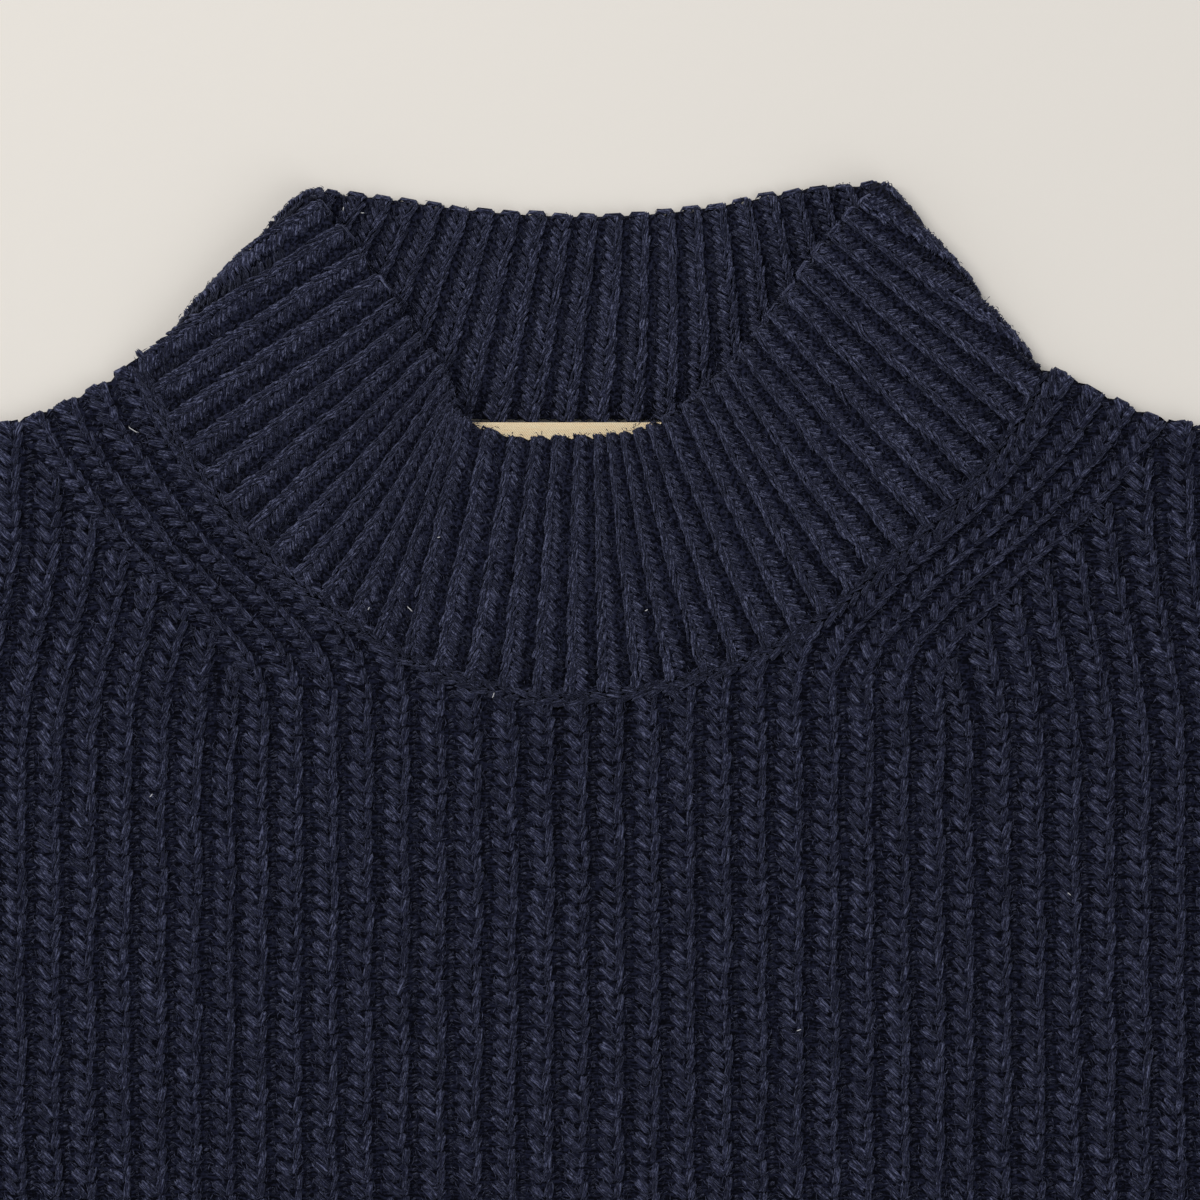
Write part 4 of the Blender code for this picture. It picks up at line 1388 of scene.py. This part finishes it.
    def section(self, wale: float) -> Array:
        """The wall's section along one wale: up the outer face, over the top and down the inner face.

        Args:
            wale: A wale of the collar.

        Returns:
            Points, one a row.
        """
        up = unit((self.middle(wale, 1.0)[0] - self.middle(wale, 0.0)[0]) * (1.0, 1.0, 0.0))
        outer, inner = [], []
        for rise in np.linspace(0.0, 1.0, self.section_steps):
            centre, normal = self.middle(wale, rise)
            half = self.half(rise)
            scalloped = (self.scallop - half) * smoothstep(rise, self.scallop_from, 1.0)
            lift = up * (self.lift * (1 - rise) + scalloped)
            outer.append(centre + normal * half + lift)
            inner.append(centre - normal * half + lift)
        centre, normal = self.middle(wale, 1.0)
        half = self.half(1.0)
        top = centre + up * (self.scallop - half)
        turns = np.radians(self.cap_turns)
        cap = [top + (normal * math.sin(turn) + up * math.cos(turn)) * half for turn in turns]
        return self.pressed(np.array(outer + cap + inner[::-1]))

    def pressed(self, points: Array) -> Array:
        """Points in the drawing's millimetres, with the two upper corners pressed rounder.

        Args:
            points: The points, one a row.

        Returns:
            The moved points.
        """
        x, y = points[:, 0], points[:, 1]
        top = np.where(x < 0, *self.corner_tops)
        over = np.maximum(y - top, 0.0) * (np.abs(x) > self.corner_x)
        return np.column_stack([x, y - over * self.corner_press, points[:, 2]])

    def rows(self) -> Rows:
        """Every loop that can be seen, rib by rib.

        Returns:
            The loops.
        """
        found = []
        for wale in range(self.wales):
            line, low, high = (self.section(wale + share) for share in (0.5, 0.25, 0.75))
            lengths = lengths_along(line)
            count = int(lengths[-1] / self.row_pitch)
            places = (np.arange(count) + 0.5) * lengths[-1] / count
            shares = places / lengths[-1]
            centre = points_at(line, places)
            along = unit(points_at(line, places + self.sight) - points_at(line, places - self.sight))
            near, far = (points_at(side, shares * lengths_along(side)[-1]) for side in (low, high))
            step = far - near
            width = 2 * np.linalg.norm(step, axis=1)
            across = unit(step - along * (step * along).sum(axis=1, keepdims=True))
            up = unit(np.cross(across, along))
            reach = 2 * self.sight
            ahead = unit(points_at(line, places + reach) - centre)
            behind = unit(centre - points_at(line, places - reach))
            bend_along = -((ahead - behind) * up).sum(axis=1) / reach
            bend_across = -((near + far - 2 * centre) * up).sum(axis=1) / np.maximum(width / 4, 0.5) ** 2
            bend = np.clip(np.column_stack([bend_across, bend_along]), *self.bend_limits)
            rows = Rows(centre, across, along, width, np.full(count, lengths[-1] / count), bend)
            inner = places > lengths[-1] / 2
            front = centre[:, 2] > self.front_rise[0] - self.wall[1] / 2
            deep = inner & front & (places > lengths[-1] / 2 + self.lip)
            unseen = (up[:, 2] < self.hidden_facing) & (centre[:, 2] < self.hidden_height)
            unseen |= deep | (inner & (centre[:, 1] < self.neck_depth) & ~front)
            found.append(rows.keep(~unseen))
        return Rows.joined(found)

    def build(self, yarn: bpy.types.Material, ground: bpy.types.Material) -> None:
        """Makes the ground and the loops in two pieces.

        Args:
            yarn: The loops' material.
            ground: The material between them.
        """

        def thin(points: Array, normals: Array) -> Array:
            """The solid's form drawn in under the loops, but filled at its open edges."""
            outwards = smoothstep(normals[:, :2].sum(axis=1), *self.fill_span)
            fill = np.where(points[:, 0] > self.corner_x * MM, self.fold_fill, self.top_fill)
            moved = points + normals * ((fill * outwards - self.ground_inset) * MM)[:, None]
            shift = np.array((0.0, SHIFT_Y, 0.0))
            return (self.pressed(moved / MM - shift) + shift) * MM

        cloth = cloth_from("collar", "collar_cloth", thin, ground)
        rows = self.shown_rows = self.rows()
        upper = rows.centre[:, 2] > self.split_height
        for name, seed, mask in (("collar_loops_front", 18, upper), ("collar_loops_back", 17, ~upper)):
            strands = Yarn(seed, *self.tones)
            part = rows.keep(mask)
            grow = np.clip(part.width / self.full_width, *self.grow_limits)
            for leg in self.legs:
                strands.lay(part, leg, grow)
            at_edge = (part.up()[:, 1] > self.head_facing) & (part.centre[:, 1] > self.head_from)
            strands.lay(part.keep(at_edge), self.head)
            strands.fluff(part, self.hairs)
            piece = strands.build(name, yarn)
            finish_piece(piece)


@dataclass
class ArmholeBand:
    """A narrow rib trim round one armhole."""

    side: Side
    width: float = 22.0
    wall: float = 3.4
    rib_pitch: float = 7.6
    row_pitch: float = 2.6
    front_middle: float = 6.0
    legs: tuple[Leg, ...] = (
        Leg((-0.27, -0.8, 0.0), (-0.19, 0.9, 0.0), arch=0.75, radius=0.50, plies=3, spread=1.0),
        Leg((0.24, -0.60, -0.4), (-0.12, 0.55, 0.0), arch=0.6, radius=0.48, plies=3, spread=0.8),
        Leg((0.20, -0.45, -0.5), (0.40, 0.50, -1.1), arch=0.4, radius=0.48, plies=1),
    )
    hairs: Fluff = Fluff(4, 1.1, 1.1, (1.3, 3.4), 0.15, (84.0, 125.0))
    seed: int = 300
    # Heights in a loop's frame where the painted shade is darkest and where it is gone.
    tones: tuple[float, float] = (-1.0, 0.5)
    sight: float = 2.0
    row_ends: tuple[float, float] = (0.3, 0.6)
    edge_span: tuple[float, float] = (-3.5, 0.5)
    edge_drop: float = 2.2
    edge_slope: float = 1.2
    ground_inset: float = 0.7

    def rows(self) -> Rows:
        """The loops of the band's front strip, rib by rib along the armhole.

        Returns:
            The loops.
        """
        line = CUT.armhole_line(self.side.value)[::-1]
        total = lengths_along(line)[-1]
        count = round(total / self.rib_pitch)
        first, last = self.row_ends
        reach = np.arange(first + self.row_pitch / 2, self.width - last, self.row_pitch)
        edge = smoothstep(reach, self.width + self.edge_span[0], self.width + self.edge_span[1])
        height = self.front_middle + self.wall / 2 - self.edge_drop * edge
        size = np.full(len(reach), total / count)
        pitch = np.full(len(reach), self.row_pitch)
        bend = np.zeros((len(reach), 2))
        found = []
        for number in range(count):
            place = (number + 0.5) * total / count
            ahead = unit(points_at(line, place + self.sight) - points_at(line, place - self.sight))
            out = np.array((-ahead[1], ahead[0])) * -self.side.value
            out = out if out[0] * self.side.value > 0 else -out
            flat = points_at(line, place) + out * reach[:, None]
            centre = np.column_stack([flat, height])
            along = np.column_stack([np.tile(out, (len(reach), 1)), -self.edge_slope * edge])
            across = np.tile(-np.cross(FLAT_Z, (*out, 0.0)), (len(reach), 1))
            found.append(Rows(centre, unit(across), unit(along), size, pitch, bend))
        return Rows.joined(found)

    def build(self, yarn: bpy.types.Material, ground: bpy.types.Material) -> None:
        """Makes the ground and the loops.

        Args:
            yarn: The loops' material.
            ground: The material between them.
        """

        def thin(points: Array, normals: Array) -> Array:
            """The solid's form drawn in under the loops."""
            return points - normals * self.ground_inset * MM

        node = f"armhole_band_{self.side.name.lower()}"
        cloth = cloth_from(node, f"{node}_cloth", thin, ground)
        strands = Yarn(self.seed + int(self.side.value), *self.tones)
        rows = self.rows()
        for leg in self.legs:
            strands.lay(rows, leg)
        strands.fluff(rows, self.hairs)
        piece = strands.build(f"{node}_loops", yarn)
        finish_piece(piece)


@dataclass
class NeckSeam:
    """The linked courses that join the collar to the front."""

    pitch: float = 4.6
    courses: tuple[tuple[float, float], ...] = ((-0.9, 8.8), (0.9, 8.6), (2.7, 8.3))
    hairs: Fluff = Fluff(4, 0.5, 0.4, (1.3, 3.2), 0.15, (60.0, 120.0), 0.9)
    legs: tuple[Leg, ...] = (
        Leg((0.32, -0.55, -0.9), (-0.28, 0.66, -0.9), arch=0.9, radius=0.52, plies=3, spread=0.8),
        Leg((-0.32, -0.55, -0.9), (0.28, 0.66, -0.9), arch=0.9, radius=0.52, plies=3, spread=0.8),
    )
    loop_width: float = 3.0
    seed: int = 500
    # Heights in a loop's frame where the painted shade is darkest and where it is gone.
    tones: tuple[float, float] = (-2.2, 0.7)
    sight: float = 2.0
    wave_seed: int = 40
    wave: float = 26.0
    waver: tuple[float, float] = (0.35, 0.3)

    def build(self, yarn: bpy.types.Material) -> None:
        """Lays the chain of loops along the seam.

        Args:
            yarn: The loops' material.
        """
        line = CUT.seam_line()
        total = lengths_along(line)[-1]
        count = int(total / self.pitch)
        width = np.full(count, self.loop_width)
        pitch = np.full(count, total / count)
        aside, above = self.waver
        strands = Yarn(self.seed, *self.tones)
        for number, (offset, height) in enumerate(self.courses):
            places = (np.arange(count) + 0.5 * number) * total / count
            flat = points_at(line, places)
            ahead = unit(points_at(line, places + self.sight) - points_at(line, places - self.sight))
            out = np.column_stack([ahead[:, 1], -ahead[:, 0]])
            wave = wander(places[:, None], self.wave_seed + number, self.wave)
            centre = np.column_stack([flat + out * (offset + aside * wave)[:, None], height + above * wave])
            along = np.column_stack([ahead, np.zeros(count)])
            across = np.column_stack([out, np.zeros(count)])
            rows = Rows(centre, across, along, width, pitch, np.zeros((count, 2)))
            strands.lay(rows, self.legs[number % 2])
            strands.fluff(rows, self.hairs)
        finish_piece(strands.build("neck_seam_loops", yarn))


@dataclass
class NeckLabel:
    """The plain woven tape inside the back neck, with its edges rounded by a radius in metres."""

    edge: float = 0.0004
    edge_steps: int = 3

    def build(self, tape: bpy.types.Material) -> None:
        """Makes the tape in its solid's place, with softened edges.

        Args:
            tape: The tape's material.
        """
        low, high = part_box("neck_label")
        for thing in bpy.context.selected_objects:
            thing.select_set(False)
        bpy.ops.mesh.primitive_cube_add(size=1.0)
        label = bpy.context.active_object
        label.name = "neck_label_tape"
        label.location = (low + high) / 2
        label.scale = high - low
        bpy.ops.object.transform_apply(location=True, rotation=False, scale=True)
        bevel = label.modifiers.new("soft_edge", "BEVEL")
        bevel.width = self.edge
        bevel.segments = self.edge_steps
        bpy.ops.object.modifier_apply(modifier=bevel.name)
        label.data.materials.append(tape)
        label.data.shade_smooth()
        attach(label, "root")
        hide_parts("neck_label")
        finish_piece(label)


@dataclass
class Lint:
    """Pale fibres caught on the knit: each is (x, y, length, turn in degrees, bow)."""

    on_body: tuple[tuple[float, ...], ...] = (
        (-134.9, 76.8, 3.9, -32.0, -0.9), (-29.4, -1.5, 2.0, 70.0, 0.2), (60.5, -100.0, 1.6, 20.0, 0.2),
        (-130.0, -31.0, 1.5, 50.0, 0.1), (140.0, -60.0, 1.4, -40.0, 0.2),
    )
    on_collar: tuple[tuple[float, ...], ...] = (
        (-65.6, 24.4, 1.3, 60.0, 0.1), (-53.5, 24.2, 2.4, -45.0, 0.1), (15.6, 23.8, 1.1, 30.0, 0.0),
        (-73.5, 141.8, 1.4, 80.0, 0.2), (-67.9, 140.6, 1.2, 0.0, 0.1), (-45.0, 45.0, 1.0, 15.0, 0.0),
        (86.0, 110.0, 1.0, 60.0, 0.0),
    )
    heights: tuple[float, float] = (9.3, 1.7)
    arch: float = 0.2
    radius: float = 0.17
    rings: int = 2
    seed: int = 600
    # Heights of the painted shade, far below the fibres, so they get none.
    tones: tuple[float, float] = (-9.0, -8.0)
    facing: float = 0.4
    too_far: float = 90.0

    def build(self, body: Rows, collar: Rows, pale: bpy.types.Material) -> None:
        """Lays each fibre on the loop nearest to it.

        Args:
            body: The loops of the front.
            collar: The loops of the collar.
            pale: The fibres' material.
        """
        strands = Yarn(self.seed, *self.tones)
        arch, radius = np.array([self.arch]), np.array([self.radius])
        for rows, places, height in zip((body, collar), (self.on_body, self.on_collar), self.heights):
            hidden = rows.up()[:, 2] < self.facing
            for x, y, length, turn, bow in places:
                away = np.hypot(rows.centre[:, 0] - x, rows.centre[:, 1] - y) + self.too_far * hidden
                loop = rows.keep(np.arange(len(away)) == np.argmin(away))
                plan = np.stack([loop.across[0, :2], loop.along[0, :2]])
                turned = math.radians(turn)
                run = np.array([(*(plan @ (math.cos(turned), math.sin(turned))), 0.0)]) * length / 2
                middle = np.array([(*(plan @ ((x, y) - loop.centre[0, :2])), height)])
                strands.strand(loop, middle - run, middle + run, arch, np.array([bow]), radius, self.rings)
        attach(strands.build("lint_fibres", pale), "root")


@dataclass
class Studio:
    """The pale table, the soft light and the camera straight above."""

    photo_middle: tuple[float, float] = (2.06, 26.5)
    field: float = 353.0
    crest: float = 9.0
    distance: float = 1400.0
    sensor: float = 36.0
    floor_colour: Colour = (0.775, 0.735, 0.680)
    room_colour: tuple[float, ...] = (0.95, 0.97, 1.0, 1.0)
    room_light: float = 0.42
    lit_place: Place = (0.0, 0.2, 0.0)

    def build(self) -> None:
        """Makes the floor, lights, world and camera."""
        self.floor()
        self.light("key", (-0.9, 1.1, 1.9), 1.6, 33.0, (1.0, 0.985, 0.96))
        self.light("fill", (1.2, -0.6, 1.8), 2.0, 9.0, (0.96, 0.98, 1.0))
        world = bpy.data.worlds.new("room")
        bpy.context.scene.world = world
        world.use_nodes = True
        background = world.node_tree.nodes["Background"]
        background.inputs["Color"].default_value = self.room_colour
        background.inputs["Strength"].default_value = self.room_light
        self.camera()
        bpy.context.scene.view_settings.view_transform = "Standard"

    def floor(self) -> None:
        """A wide plain table."""
        graph = Graph("table")
        where = graph.object_place()
        grain = graph.noise(where, 140.0, 3.0)
        clouds = graph.noise(where, 1.3, 1.0)
        tint = graph.mix(clouds, self.floor_colour, tuple(0.97 * part for part in self.floor_colour))
        bumps = graph.bump(grain, 0.0001)
        paper = graph.dress(Base_Color=tint, Roughness=0.8, Specular_IOR_Level=0.2, Normal=bumps)
        bpy.ops.mesh.primitive_plane_add(size=14.0)
        floor = bpy.context.active_object
        floor.name = "table"
        floor.data.materials.append(paper)

    def light(self, name: str, place: Place, size: float, power: float, colour: Colour) -> None:
        """A large soft lamp that points at the vest's neck.

        Args:
            name: The lamp's name.
            place: Where it is, in metres.
            size: Its width in metres.
            power: Its power in watts.
            colour: Its colour.
        """
        lamp = bpy.data.lights.new(name, "AREA")
        lamp.shape = "DISK"
        lamp.size = size
        lamp.energy = power
        lamp.color = colour
        thing = bpy.data.objects.new(name, lamp)
        bpy.context.scene.collection.objects.link(thing)
        aim = np.array(self.lit_place) - np.array(place)
        thing.location = place
        thing.rotation_euler = Vector(aim).to_track_quat("-Z", "Y").to_euler()
        thing.visible_camera = False

    def camera(self) -> None:
        """A long lens straight above the middle of the photo's frame."""
        lens = bpy.data.cameras.new("camera")
        lens.sensor_width = self.sensor
        lens.lens = self.sensor * self.distance / self.field
        view = bpy.data.objects.new("camera", lens)
        bpy.context.scene.collection.objects.link(view)
        x, y = self.photo_middle
        view.location = (x * MM, (y + SHIFT_Y) * MM, (self.crest + self.distance) * MM)
        bpy.context.scene.camera = view


def main() -> None:
    """Builds the vest and its studio."""
    body, rib, rib_ground = BODY_YARN.material(), COLLAR_YARN.material(), COLLAR_GROUND.material()
    knit = KNIT.material()
    BackPanel().build(knit)
    front = FrontPanel()
    front.build(body, BODY_GROUND.material())
    collar = Collar()
    collar.build(rib, rib_ground)
    for side in Side:
        ArmholeBand(side).build(rib, knit)
    NeckSeam().build(body)
    Lint().build(front.shown_rows, collar.shown_rows, LINT.material())
    NeckLabel().build(TAPE.material())
    Studio().build()


if __name__ == "__main__":
    main()
